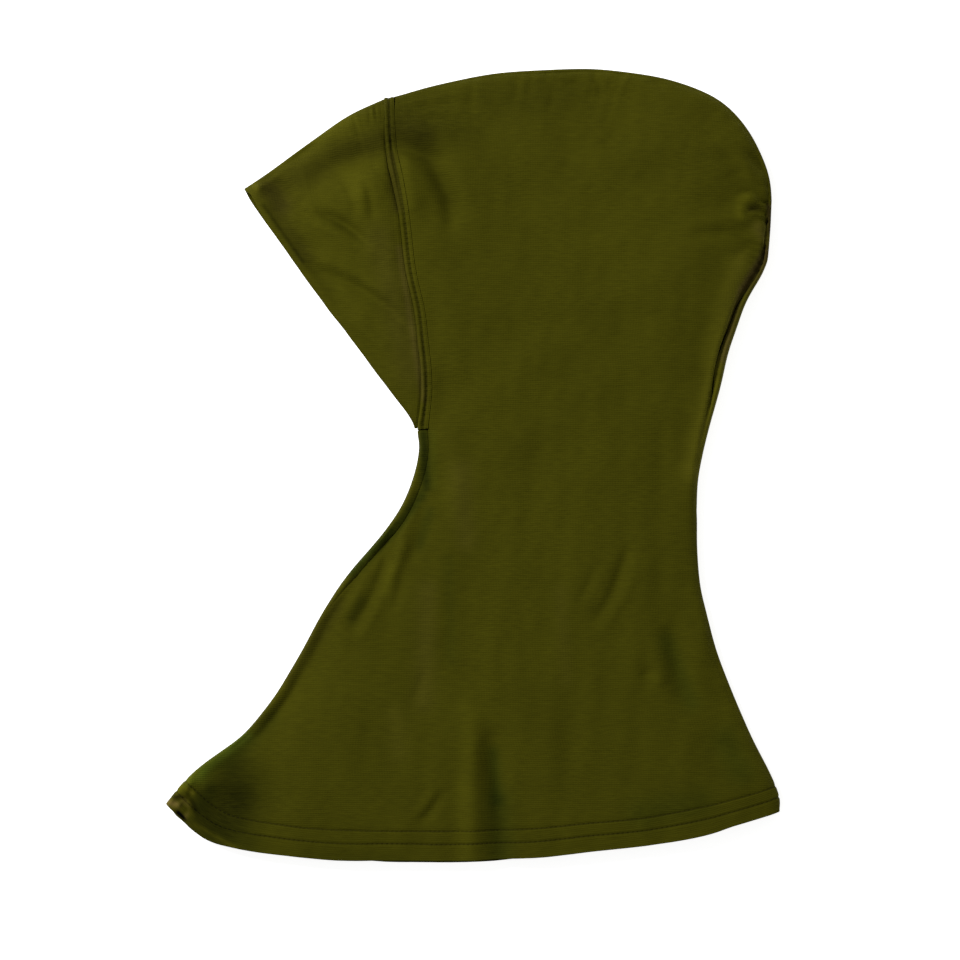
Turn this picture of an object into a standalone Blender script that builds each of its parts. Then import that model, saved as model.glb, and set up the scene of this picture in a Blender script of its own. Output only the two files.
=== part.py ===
"""A full-cover jersey underscarf laid flat on its side: a hood with a brow panel, a neck and a flared bib.

X runs from the face towards the back of the head, Y from the hem towards the crown and Z up from the surface
that the cap lies on. The wearer's left side is uppermost. All sizes are in metres.
"""

import math
from collections import namedtuple

import bmesh
import bpy
import numpy as np

# Outline of the cap as it lies, with heights taken up from the lowest point of the hem
CAP_LENGTH = 0.420  # lowest point of the hem to the top of the crown
HEM_WIDTH = 0.325  # front corner to back corner
HEM_FRONT_RISE = 0.031
HEM_BACK_RISE = 0.027
NECK_WIDTH = 0.1465  # chin to nape
NAPE_INSET = 0.044  # nape forward of the hem's back corner
NAPE_HEIGHT = 0.186
CHIN_HEIGHT = 0.2285
HEAD_WIDTH = 0.1865  # chin to the back of the head
HEAD_BACK_HEIGHT = 0.350
CROWN_REACH = 0.1095  # crown's highest point to the back of the head
SEAM_TOP_HEIGHT = 0.404
SEAM_LEAN = 0.0195  # top of the brow seam forward of the chin
BROW_REACH = 0.074  # brow tip forward of the top of the brow seam
BROW_TIP_HEIGHT = 0.3575
HEM_DEPTH = 0.0165  # turned-up hem, edge to upper stitch row
SEAM_WIDTH = 0.0056  # brow seam, its front line to the edge of the stitched-down allowance
SEAM_FOOT = 0.004  # how far above the chin the brow seam begins
SEAM_SLANT = 0.003  # rise of its foot from front to rear
BROW_APEX = 0.0065  # how far above the chin the brow panel ends

# Cloth thicknesses and the clearance between sewn pieces
JERSEY = 0.0012
BROW_CLOTH = 0.0016  # a double layer
HEM_CLOTH = 0.0020
SEAM_CLOTH = 0.0022
SEAM_PROUD = 0.0006  # how far the brow seam stands above the cloth beside it
SEWN_GAP = 0.0004

# How the cloth lies: a flat underside, rolled sides and an upper layer that holds some air
EDGE_HEIGHT = 0.0055  # height of the outline above the surface
EDGE_RISE = 0.0050  # height that the rolled side gains above the outline
EDGE_TUCK = 0.0070  # width of the roll seen from above
DOME_REACH = 0.055  # how far in from the outline the upper layer comes level
GROOVE_REACH = 0.0030  # half width of the furrow along the centre seam
NEAR_REACH = 0.0090  # how far beside the seam the cloth follows that furrow closely
FOLD_CLEAR = 0.010  # folds fade out this close to the outline
BROW_SINK = 0.30  # share of the dome lost between the brow seam and the brow tip

Bend = namedtuple("Bend", "up across")
Sag = namedtuple("Sag", "across drop")
Lean = namedtuple("Lean", "up back")
Loft = namedtuple("Loft", "up height")
Roll = namedtuple("Roll", "along roll groove")
Fold = namedtuple("Fold", "name across0 up0 across1 up1 width rise")
Row = namedtuple("Row", "line roll groove sewn")

# Front edge from the hem corner to the chin, as shares of the height and width between them
FRONT_EDGE = (
    Bend(0.000, 0.000), Bend(0.091, 0.118), Bend(0.198, 0.319), Bend(0.359, 0.492), Bend(0.520, 0.622),
    Bend(0.627, 0.732), Bend(0.735, 0.866), Bend(0.842, 0.957), Bend(0.949, 0.996), Bend(1.000, 1.000),
)
# Back edge from the hem corner to the nape, as shares of the height and of the nape's inset
BACK_EDGE_LOW = (
    Bend(0.000, 1.000), Bend(0.050, 0.990), Bend(0.140, 0.867), Bend(0.272, 0.627), Bend(0.405, 0.422),
    Bend(0.538, 0.241), Bend(0.671, 0.108), Bend(0.804, 0.024), Bend(1.000, 0.000),
)
# Back edge from the nape to the back of the head, as shares of the height and width gained
BACK_EDGE_HIGH = (
    Bend(0.000, 0.000), Bend(0.132, 0.040), Bend(0.261, 0.158), Bend(0.390, 0.303), Bend(0.519, 0.434),
    Bend(0.648, 0.618), Bend(0.777, 0.882), Bend(0.842, 0.955), Bend(1.000, 1.000),
)
CROWN_BACK_POWER = 2.3  # a superellipse from the crown's top to the back of the head
CROWN_FRONT_POWER = 1.9  # the crown falls forward as this power of the distance
BROW_FOLD_BOW = 0.15  # share of the brow fold's drop that grows as the square of the distance
FACE_EDGE_BOW = 0.010  # outward bow of the face edge, as a share of its length

# Hem line from the front corner to the back corner: share of the corners' height that it has dropped
HEM_LINE = (
    Sag(0.000, 0.000), Sag(0.049, 0.490), Sag(0.098, 0.720), Sag(0.196, 0.895), Sag(0.294, 0.975), Sag(0.440, 1.000),
    Sag(0.587, 0.925), Sag(0.685, 0.810), Sag(0.783, 0.680), Sag(0.881, 0.460), Sag(0.930, 0.270), Sag(1.000, 0.000),
)
# Brow seam from the chin to the crown: how far it bows back from a straight line, as shares of its length
BROW_SEAM = (
    Lean(0.000, 0.000), Lean(0.060, 0.006), Lean(0.125, 0.017), Lean(0.223, 0.025), Lean(0.326, 0.022),
    Lean(0.481, 0.011), Lean(0.595, 0.008), Lean(0.734, 0.004), Lean(0.844, -0.008), Lean(1.000, 0.000),
)
# Height of the upper layer above the surface, up the cap's length
LOFTS = (
    Loft(0.00, 0.0135), Loft(0.15, 0.0145), Loft(0.35, 0.0155), Loft(0.50, 0.0170), Loft(0.72, 0.0200),
    Loft(0.88, 0.0200), Loft(1.00, 0.0185),
)
# How far the centre seam rolls in from the outline onto the upper side, and how deep its furrow is
FRONT_ROLLS = (
    Roll(0.00, 0.0010, 0.0003), Roll(0.54, 0.0010, 0.0003), Roll(0.64, 0.0044, 0.0008), Roll(0.80, 0.0058, 0.0010),
    Roll(1.00, 0.0058, 0.0010),
)
CROWN_ROLLS = (
    Roll(0.00, 0.0010, 0.0003), Roll(0.35, 0.0018, 0.0004), Roll(0.60, 0.0012, 0.0003), Roll(1.00, 0.0018, 0.0006),
)
BACK_ROLLS = (
    Roll(0.00, 0.0018, 0.0006), Roll(0.08, 0.0030, 0.0014), Roll(0.17, 0.0048, 0.0018), Roll(0.28, 0.0048, 0.0016),
    Roll(0.36, 0.0024, 0.0006), Roll(0.48, 0.0010, 0.0003), Roll(1.00, 0.0010, 0.0003),
)
# Main folds and dents of the upper layer: their ends as shares of the hem width and cap length, and their
# half width and rise as shares of the dome's reach
FOLDS = (
    Fold("bib_valley", 0.532, 0.175, 0.520, -0.020, 0.200, -0.050),
    Fold("bib_ridge", 0.485, 0.190, 0.465, -0.020, 0.220, 0.050),
    Fold("front_corner_dent", 0.060, 0.060, 0.140, 0.085, 0.240, -0.060),
    Fold("throat_valley", 0.470, 0.570, 0.448, 0.470, 0.180, -0.060),
    Fold("throat_ridge", 0.425, 0.440, 0.355, 0.310, 0.200, 0.050),
    Fold("throat_crease", 0.375, 0.400, 0.300, 0.300, 0.180, -0.050),
    Fold("bib_back_valley", 0.825, 0.310, 0.850, 0.200, 0.220, -0.050),
    Fold("bib_middle_crease", 0.750, 0.395, 0.700, 0.310, 0.200, -0.035),
    Fold("seam_top_dent", 0.375, 0.930, 0.450, 0.895, 0.180, -0.055),
    Fold("temple_valley", 0.430, 0.885, 0.455, 0.840, 0.180, -0.055),
    Fold("brow_crease", 0.255, 0.822, 0.330, 0.780, 0.160, -0.035),
    Fold("back_pucker_low", 0.900, 0.795, 0.980, 0.805, 0.160, -0.040),
    Fold("back_pucker_high", 0.905, 0.850, 0.980, 0.830, 0.160, 0.040),
)

# How finely the cloth is divided
LINE_STEPS = 14  # points in each stretch of an outline
BODY_ROWS = 18  # rows between the hem and the chin
SEAM_ROWS = 11  # rows along the brow seam
CROWN_ROWS = 17  # rows fanned over the crown
TURN_COLUMNS = 4  # columns round the rolled side, above and below the outline
UPPER_COLUMNS = 8  # columns from the furrow to the middle of the upper layer
UNDER_COLUMNS = 5  # columns across the flat of the underside
HEM_ROWS = 4
BROW_ROWS = 11
BROW_COLUMNS = 7
SEAM_COLUMNS = 3
ROW_MIDDLE = 0.46  # where the front and back halves of a row meet, from front to back
FAN_ACROSS = 0.47  # middle of the crown's fan, back from the chin as a share of the head width
FAN_UP = 0.52  # and up from the chin as a share of the way to the crown's top
SMOOTH_ANGLE = math.radians(40)

# Base colour and roughness of each piece's cloth
FINISHES = {
    "left_side": ((0.050, 0.047, 0.0042), 0.88),
    "right_side": ((0.048, 0.045, 0.0040), 0.88),
    "brow_panel": ((0.058, 0.054, 0.0044), 0.86),
    "brow_seam": ((0.052, 0.049, 0.0042), 0.86),
    "hem_band": ((0.047, 0.044, 0.0038), 0.88),
}


def smooth_line(points):
    """A dense line through the points, rounded between them as a Catmull-Rom curve."""
    ends = np.array(points, float)
    padded = np.vstack([2 * ends[0] - ends[1], ends, 2 * ends[-1] - ends[-2]])
    line = []
    for before, start, end, after in zip(padded, padded[1:], padded[2:], padded[3:]):
        for t in np.arange(LINE_STEPS) / LINE_STEPS:
            bend = 2 * before - 5 * start + 4 * end - after
            twist = 3 * start - before - 3 * end + after
            line.append(start + 0.5 * ((end - before) * t + bend * t**2 + twist * t**3))
    return np.array(line + [ends[-1]])


def lengths_along(line):
    return np.concatenate([[0.0], np.cumsum(np.linalg.norm(np.diff(line, axis=0), axis=1))])


def length_of(line):
    return lengths_along(line)[-1]


def at_lengths(line, lengths):
    """Points of the line at these distances along it."""
    run = lengths_along(line)
    return np.stack([np.interp(lengths, run, line[:, k]) for k in (0, 1)], axis=-1)


def at_shares(line, shares):
    return at_lengths(line, np.asarray(shares) * length_of(line))


def stretch(line, start, end):
    """The part of a line between these distances along it."""
    return at_lengths(line, np.linspace(start, end, 6 * LINE_STEPS))


def sideways(line):
    """Unit vectors to the right of the line's direction at each of its points."""
    along = np.gradient(line, axis=0)
    along /= np.linalg.norm(along, axis=1)[:, None]
    return np.stack([along[:, 1], -along[:, 0]], axis=1)


def bent_edge(bends, start, end, across_from, across_to):
    """A smooth line from a table of bends, whose height runs from start to end."""
    ups = [start[1] + row.up * (end[1] - start[1]) for row in bends]
    acrosses = [across_from + row.across * (across_to - across_from) for row in bends]
    return smooth_line(list(zip(acrosses, ups)))


# Corners of the outline
hem_front = np.array([0.0, HEM_FRONT_RISE])
hem_back = np.array([HEM_WIDTH, HEM_BACK_RISE])
nape = np.array([HEM_WIDTH - NAPE_INSET, NAPE_HEIGHT])
chin = np.array([nape[0] - NECK_WIDTH, CHIN_HEIGHT])
head_back = np.array([chin[0] + HEAD_WIDTH, HEAD_BACK_HEIGHT])
crown_top = np.array([head_back[0] - CROWN_REACH, CAP_LENGTH])
seam_top = np.array([chin[0] - SEAM_LEAN, SEAM_TOP_HEIGHT])
brow_tip = np.array([seam_top[0] - BROW_REACH, BROW_TIP_HEIGHT])


def crown_line():
    """From the top of the brow seam over the crown to the back of the head."""
    ahead = np.linspace(1, 0, 3 * LINE_STEPS)[:-1]
    front_x = crown_top[0] + (seam_top[0] - crown_top[0]) * ahead
    front_y = CAP_LENGTH - (CAP_LENGTH - SEAM_TOP_HEIGHT) * ahead**CROWN_FRONT_POWER
    turn = np.linspace(math.pi / 2, 0, 5 * LINE_STEPS)
    back_x = crown_top[0] + CROWN_REACH * np.abs(np.cos(turn)) ** (2 / CROWN_BACK_POWER)
    back_y = HEAD_BACK_HEIGHT + (CAP_LENGTH - HEAD_BACK_HEIGHT) * np.sin(turn) ** (2 / CROWN_BACK_POWER)
    return np.stack([np.append(front_x, back_x), np.append(front_y, back_y)], axis=1)


def brow_fold_line():
    """From the brow tip to the top of the brow seam."""
    t = np.linspace(1, 0, 2 * LINE_STEPS)
    drop = (1 - BROW_FOLD_BOW) * t + BROW_FOLD_BOW * t**2
    return np.stack([seam_top[0] - BROW_REACH * t, seam_top[1] + (brow_tip[1] - seam_top[1]) * drop], axis=1)


def face_edge_line():
    """From the chin to the brow tip, bowed a little towards the face."""
    t = np.linspace(0, 1, 2 * LINE_STEPS)[:, None]
    straight = chin + (brow_tip - chin) * t
    bow = FACE_EDGE_BOW * np.linalg.norm(brow_tip - chin) * np.sin(math.pi * np.sqrt(1 - t))
    return straight - sideways(straight) * bow


def brow_seam_line():
    """The seam's front line, from the chin to the crown."""
    run = seam_top - chin
    back = np.array([run[1], -run[0]])
    return smooth_line([chin + run * row.up + back * row.back for row in BROW_SEAM])


front_edge = bent_edge(FRONT_EDGE, hem_front, chin, hem_front[0], chin[0])
back_low = bent_edge(BACK_EDGE_LOW, hem_back, nape, nape[0], hem_back[0])
back_high = bent_edge(BACK_EDGE_HIGH, nape, head_back, nape[0], head_back[0])
back_edge = np.vstack([back_low, back_high[1:]])[::-1]
crown = crown_line()
brow_fold = brow_fold_line()
face_edge = face_edge_line()
seam_front = brow_seam_line()
back_above = back_edge[back_edge[:, 1] >= CHIN_HEIGHT]
back_below = back_edge[back_edge[:, 1] <= back_above[-1, 1]]
NECK_SHARE = length_of(back_above) / length_of(back_edge)
joined_edges = (front_edge, np.vstack([brow_fold, crown[1:], back_edge[1:]]))


def seam_line(offset):
    """A line this far behind the brow seam's front line, which ends on the crown's outline."""
    line = seam_front + sideways(seam_front) * offset
    near = crown[crown[:, 0] < crown_top[0]]
    head = np.array([line[-1, 0], np.interp(line[-1, 0], near[:, 0], near[:, 1])])
    share = (lengths_along(line) / length_of(line))[:, None]
    return line + (head - line[-1]) * share**8


def distance_from(lines, points):
    """Distance from each point to the nearest of the lines."""
    best = np.full(len(points), np.inf)
    for line in lines:
        runs = np.diff(line, axis=0)
        ahead = points[:, None, :] - line[None, :-1]
        share = (ahead * runs).sum(axis=2) / np.maximum((runs**2).sum(axis=1), 1e-18)
        gaps = np.linalg.norm(ahead - np.clip(share, 0, 1)[..., None] * runs, axis=2)
        best = np.minimum(best, gaps.min(axis=1))
    return best


def eased(share):
    share = np.clip(share, 0, 1)
    return share * share * (3 - 2 * share)


def rounded(share):
    """A quarter circle's rise, from 0 at its upright end to 1 at its level end."""
    return np.sqrt(1 - (1 - np.clip(share, 0, 1)) ** 2)


def fold_relief(points):
    """Rise of the main folds at these points of the plan."""
    rise = np.zeros(len(points))
    for fold in FOLDS:
        start = np.array([fold.across0 * HEM_WIDTH, fold.up0 * CAP_LENGTH])
        run = np.array([fold.across1 * HEM_WIDTH, fold.up1 * CAP_LENGTH]) - start
        share = np.clip(((points - start) @ run) / (run @ run), 0, 1)
        aside = np.linalg.norm(points - start - share[:, None] * run, axis=1)
        rise += fold.rise * DOME_REACH * np.exp(-((aside / (fold.width * DOME_REACH)) ** 2))
    return rise


def upper_height(points, inset):
    """Height of the upper layer's outer face at these points, which lie this far inside the outline."""
    loft = np.interp(points[:, 1] / CAP_LENGTH, [row.up for row in LOFTS], [row.height for row in LOFTS])
    dome = (loft - EDGE_HEIGHT - EDGE_RISE) * (1 - (1 - np.clip(inset / DOME_REACH, 0, 1)) ** 2)
    ahead = eased((chin[0] - points[:, 0]) / (SEAM_LEAN + BROW_REACH)) * (points[:, 1] > chin[1])
    folds = fold_relief(points) * eased(inset / FOLD_CLEAR)
    return EDGE_HEIGHT + EDGE_RISE * rounded(inset / EDGE_TUCK) + dome * (1 - BROW_SINK * ahead) + folds


def under_height(inset):
    """Height of the underside's outer face, which is flat on the surface inside the tuck."""
    return EDGE_HEIGHT * (1 - rounded(inset / EDGE_TUCK))


def raised(plan, upper):
    """Points of the cap's outer face over this plan, where upper says which lie on the upper layer."""
    flat = plan.reshape(-1, 2)
    inset = distance_from(joined_edges, flat)
    height = np.where(upper.reshape(-1), upper_height(flat, inset), under_height(inset))
    return np.concatenate([flat, height[:, None]], axis=1).reshape(*plan.shape[:-1], 3)


def grid_faces(rows, columns, loop=False):
    """Quads of a grid of numbered points. A loop joins the last column to the first."""
    faces = []
    for r in range(rows - 1):
        for c in range(columns if loop else columns - 1):
            after = (c + 1) % columns
            faces.append((r * columns + c, (r + 1) * columns + c, (r + 1) * columns + after, r * columns + after))
    return faces


def welded(points, faces):
    """The points and faces with coinciding points made one, and each old point's new number."""
    _, first, number = np.unique(np.round(points, 7), axis=0, return_index=True, return_inverse=True)
    number = number.reshape(-1)
    kept = []
    for face in faces:
        ids = [int(number[k]) for k in face]
        corners = [k for at, k in enumerate(ids) if k != ids[at - 1]]
        if len(set(corners)) > 2:
            kept.append(corners)
    return points[first], kept, number


def point_normals(points, faces):
    normals = np.zeros_like(points)
    for face in faces:
        a, b, c, d = (points[face[k % len(face)]] for k in range(4))
        across = np.cross(c - a, (d if len(face) == 4 else a) - b)
        for corner in face:
            normals[corner] += across
    return normals / np.linalg.norm(normals, axis=1)[:, None]


def outward_normals(grids, loop=False):
    """Normals of several grids that share some of their points, pointing out of the cap."""
    sizes = [grid.shape[0] * grid.shape[1] for grid in grids]
    starts = np.cumsum([0] + sizes)
    faces = []
    for grid, start in zip(grids, starts):
        faces += [tuple(k + start for k in face) for face in grid_faces(*grid.shape[:2], loop)]
    points = np.concatenate([grid.reshape(-1, 3) for grid in grids])
    joined, kept, number = welded(points, faces)
    normals = point_normals(joined, kept)[number]
    above = points[:, 2] > EDGE_HEIGHT + EDGE_RISE
    normals *= np.sign(normals[above, 2].sum())
    return [normals[start : start + size].reshape(grid.shape) for grid, start, size in zip(grids, starts, sizes)]


def cloth_wall(name, grid, normals, thickness, loop=False):
    """A closed wall of this thickness behind an outer face, as an object with its own material."""
    faces = grid_faces(*grid.shape[:2], loop)
    points, kept, number = welded(grid.reshape(-1, 3), faces)
    inner = np.zeros_like(points)
    inner[number] = (grid - normals * thickness).reshape(-1, 3)
    mesh = bmesh.new()
    outside = [mesh.verts.new(point) for point in points]
    inside = [mesh.verts.new(point) for point in inner]
    edges = set()
    for face in kept:
        mesh.faces.new([outside[k] for k in face])
        mesh.faces.new([inside[k] for k in reversed(face)])
        edges.update(zip(face, face[1:] + face[:1]))
    for a, b in sorted(edges):
        if (b, a) not in edges:
            mesh.faces.new([outside[b], outside[a], inside[a], inside[b]])
    bmesh.ops.delete(mesh, geom=[v for v in mesh.verts if not v.link_faces], context="VERTS")
    bmesh.ops.recalc_face_normals(mesh, faces=mesh.faces)
    data = bpy.data.meshes.new(name)
    mesh.to_mesh(data)
    mesh.free()
    data.shade_smooth()
    data.set_sharp_from_angle(angle=SMOOTH_ANGLE)
    data.materials.append(cloth_finish(name))
    piece = bpy.data.objects.new(name, data)
    bpy.context.scene.collection.objects.link(piece)
    return piece


def cloth_finish(name):
    colour, roughness = FINISHES[name]
    material = bpy.data.materials.new(name + "_jersey")
    material.use_nodes = True
    shader = material.node_tree.nodes["Principled BSDF"]
    shader.inputs["Base Color"].default_value = (*colour, 1.0)
    shader.inputs["Roughness"].default_value = roughness
    shader.inputs["Metallic"].default_value = 0.0
    return material


def turn_steps():
    """Distances in from the outline at which the rolled side is cut into columns, from its outer end."""
    return EDGE_TUCK * (1 - np.cos(np.linspace(0, math.pi / 2, TURN_COLUMNS + 1)))[1:]


def on_to(start, end, count):
    """Evenly spaced places after start, up to and with end."""
    return start + (end - start) * np.arange(1, count + 1) / count


def rolls_at(rolls, share):
    where = [row.along for row in rolls]
    return np.interp(share, where, [r.roll for r in rolls]), np.interp(share, where, [r.groove for r in rolls])


def hem_sag(across):
    """Drop of the hem line below the straight line between its corners, front to back."""
    table = smooth_line(HEM_LINE)
    chord = HEM_FRONT_RISE + (HEM_BACK_RISE - HEM_FRONT_RISE) * across
    return chord * np.interp(across, table[:, 0], table[:, 1])


def body_rows(share):
    """The front and back halves of a row across the body, this share of the way from the hem to the chin.

    Each half runs from the outline to the row's middle. Rows bow down near the hem as the hem line does.
    """
    front, back = at_shares(front_edge, share), at_shares(back_below[::-1], share)
    across = np.linspace(0, 1, 8 * LINE_STEPS + 1)
    line = front + (back - front) * across[:, None]
    line[:, 1] -= (1 - share) ** 1.5 * hem_sag(across)
    middle = int(round(ROW_MIDDLE * 8 * LINE_STEPS))
    down = NECK_SHARE + (1 - NECK_SHARE) * (1 - share)
    return (
        Row(line[: middle + 1], *rolls_at(FRONT_ROLLS, share), True),
        Row(line[middle:][::-1], *rolls_at(BACK_ROLLS, down), True),
    )


def straight(start, end):
    return start + (end - start) * np.linspace(0, 1, 2 * LINE_STEPS)[:, None]


def seam_ups():
    """Places up the brow seam of its rows, from its foot to where it starts to turn over the crown."""
    height = distance_from((crown,), chin[None])[0]
    return np.linspace(0, 1 - EDGE_TUCK / height, SEAM_ROWS)


def hood_rows():
    """Rows round the hood, each from its edge to its middle: up the front, over the crown and down the back."""
    shares = np.linspace((HEM_DEPTH + SEWN_GAP) / length_of(front_edge), 1, BODY_ROWS)
    halves = [body_rows(share) for share in shares]
    neck_middle = halves[-1][0].line[-1]
    fan_middle = chin + np.array([HEAD_WIDTH * FAN_ACROSS, (CAP_LENGTH - CHIN_HEIGHT) * FAN_UP])
    middles = neck_middle + (fan_middle - neck_middle) * on_to(0, 1, SEAM_ROWS + 1)[:, None]
    rear = seam_line(SEAM_WIDTH + SEWN_GAP)
    foot = at_lengths(seam_front, [SEAM_FOOT - SEWN_GAP])
    beside_seam = stretch(rear, SEAM_FOOT + SEAM_SLANT - SEWN_GAP, length_of(rear))
    seam_starts = np.vstack([foot, at_shares(beside_seam, seam_ups())])
    behind = np.vstack([rear[-1:], crown[crown[:, 0] > rear[-1, 0]]])
    fan_starts = at_shares(behind, np.arange(CROWN_ROWS) / CROWN_ROWS)
    back_ups = 1 - on_to(0, 1, SEAM_ROWS + 1)
    back_starts = at_shares(back_above, back_ups)

    rows = [half[0] for half in halves]
    rows += [Row(straight(start, middle), 0.0, 0.0, False) for start, middle in zip(seam_starts, middles)]
    for k, start in enumerate(fan_starts):
        rows.append(Row(straight(start, fan_middle), *rolls_at(CROWN_ROLLS, k / CROWN_ROWS), True))
    for start, middle, up in zip(back_starts[::-1], middles[::-1], back_ups[::-1]):
        rows.append(Row(straight(start, middle), *rolls_at(BACK_ROLLS, NECK_SHARE * up), True))
    return rows + [half[1] for half in halves[::-1]]


def row_places(row):
    """Distances in from the outline of a row's columns, from its middle on the upper layer round to the underside.

    Also says which columns lie on the upper layer. A row that isn't sewn has no cloth round its edge.
    """
    length = length_of(row.line)
    beside = row.roll + NEAR_REACH * np.array([0.0, 0.13, 0.3, 0.55, 1.0])
    above = np.concatenate([beside, on_to(beside[-1], length, UPPER_COLUMNS)])[::-1]
    wrap = row.roll * np.array([0.55, 0.2])
    below = np.concatenate([[0.0], turn_steps(), on_to(EDGE_TUCK, length, UNDER_COLUMNS)])
    places = np.concatenate([above, wrap, below])
    upper = np.arange(len(places)) < len(above) + (len(wrap) if row.sewn else 0)
    return places, upper, len(above) - 1


def make_hood():
    """The two side panels, which meet at the centre seam over the crown, down the back and under the chin."""
    rows = hood_rows()
    places = [row_places(row) for row in rows]
    seam = places[0][2]
    plan = np.array([at_lengths(row.line, place[0]) for row, place in zip(rows, places)])
    grid = raised(plan, np.array([place[1] for place in places]))
    beside = np.array([np.where(p[1], p[0], -p[0]) - row.roll for row, p in zip(rows, places)])
    furrow = np.array([[row.groove] for row in rows]) * np.exp(-((beside / GROOVE_REACH) ** 2))
    sewn = np.array([row.sewn for row in rows])[:, None]
    left, right = grid[:, : seam + 1].copy(), grid[:, seam:].copy()
    right[:, 0] = np.where(sewn, right[:, 0], right[:, 1])
    normals = outward_normals([left, right])
    left -= normals[0] * furrow[:, : seam + 1, None]
    right -= normals[1] * (furrow[:, seam:] * sewn)[..., None]
    normals = outward_normals([left, right])
    for side, edge, next_in in ((left, -1, -2), (right, 0, 1)):
        inward = side[:, next_in] - side[:, edge]
        size = np.maximum(np.linalg.norm(inward, axis=1), SEWN_GAP)[:, None]
        side[:, edge] += np.where(sewn, inward / size * SEWN_GAP / 2, 0.0)
    return [cloth_wall("left_side", left, normals[0], JERSEY), cloth_wall("right_side", right, normals[1], JERSEY)]


def panel_plan(left, right, top, ups, acrosses):
    """Points between two edges that run up to a top edge, whose shape the rows take on towards it."""
    lefts, rights = at_shares(left, ups)[:, None], at_shares(right, ups)[:, None]
    across = np.asarray(acrosses)[None, :, None]
    bow = at_shares(top, acrosses) - (left[-1] + (right[-1] - left[-1]) * across[0])
    return lefts + (rights - lefts) * across + bow[None] * (ups**4)[:, None, None]


def folded_ups(height, rows):
    """Places up a panel of this height, over its top fold and down its under layer, and which are on top."""
    turn = turn_steps() / height
    upper = np.concatenate([np.linspace(0, 1 - turn[-1], rows), 1 - turn[-2::-1]])
    ups = np.concatenate([upper, [1.0], upper[::-1]])
    return ups, np.arange(len(ups)) < len(upper)


def make_folded_panel(name, left, right, top, rows, columns, thickness, proud=0.0):
    """A sheet folded over the top outline, with one layer on the upper side and one on the underside."""
    height = distance_from((top,), left[:1])[0]
    ups, on_top = folded_ups(height, rows)
    plan = panel_plan(left, right, top, ups, np.linspace(0, 1, columns))
    grid = raised(plan, np.repeat(on_top[:, None], columns, axis=1))
    normals = outward_normals([grid])[0]
    lift = proud * rounded((grid[..., 2] - EDGE_HEIGHT) / EDGE_RISE) * on_top[:, None]
    return cloth_wall(name, grid + normals * lift[..., None], normals, thickness)


def make_brow_panel():
    left = stretch(face_edge, BROW_APEX, length_of(face_edge))
    beside = seam_front - sideways(seam_front) * SEWN_GAP
    right = stretch(beside, BROW_APEX, length_of(beside))
    top = stretch(brow_fold, 0, length_of(brow_fold) - SEWN_GAP)
    return make_folded_panel("brow_panel", left, right, top, BROW_ROWS, BROW_COLUMNS, BROW_CLOTH)


def make_brow_seam():
    rear = seam_line(SEAM_WIDTH)
    left = stretch(seam_front, SEAM_FOOT, length_of(seam_front))
    right = stretch(rear, SEAM_FOOT + SEAM_SLANT, length_of(rear))
    top = np.vstack([seam_top, crown[(crown[:, 0] > seam_top[0]) & (crown[:, 0] < rear[-1, 0])], rear[-1]])
    return make_folded_panel("brow_seam", left, right, top, SEAM_ROWS, SEAM_COLUMNS, SEAM_CLOTH, SEAM_PROUD)


def make_hem_band():
    """The turned-up hem, a loop round both layers from the hem line to its upper stitch row."""
    plan, upper = [], []
    for share in np.linspace(0, HEM_DEPTH / length_of(front_edge), HEM_ROWS):
        front, back = body_rows(share)
        (front_places, front_upper, _), (back_places, back_upper, _) = row_places(front), row_places(back)
        plan.append(np.vstack([at_lengths(front.line, front_places), at_lengths(back.line, back_places)[-2:0:-1]]))
        upper.append(np.concatenate([front_upper, back_upper[-2:0:-1]]))
    grid = raised(np.array(plan), np.array(upper))
    return cloth_wall("hem_band", grid, outward_normals([grid], loop=True)[0], HEM_CLOTH, loop=True)


def build():
    for old in list(bpy.data.objects):
        bpy.data.objects.remove(old)
    cap = bpy.data.objects.new("underscarf_cap", None)
    bpy.context.scene.collection.objects.link(cap)
    cap.location = (-HEM_WIDTH / 2, -CAP_LENGTH / 2, 0)
    for piece in [*make_hood(), make_brow_panel(), make_brow_seam(), make_hem_band()]:
        piece.parent = cap


build()
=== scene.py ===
"""The looks of a jersey underscarf laid flat on its side: cloth, folds, seams and stitches, floor and light.

X runs from the face towards the back of the head, Y from the hem towards the crown and Z up from the floor.
All sizes are in metres. The plan of the cap is drawn from its hem's front corner and its hem's lowest point,
and each piece is moved from there to the frame's own place.
"""

import functools
import math
from collections import namedtuple

import bmesh
import bpy
import numpy as np
from mathutils import Matrix, Vector


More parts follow.
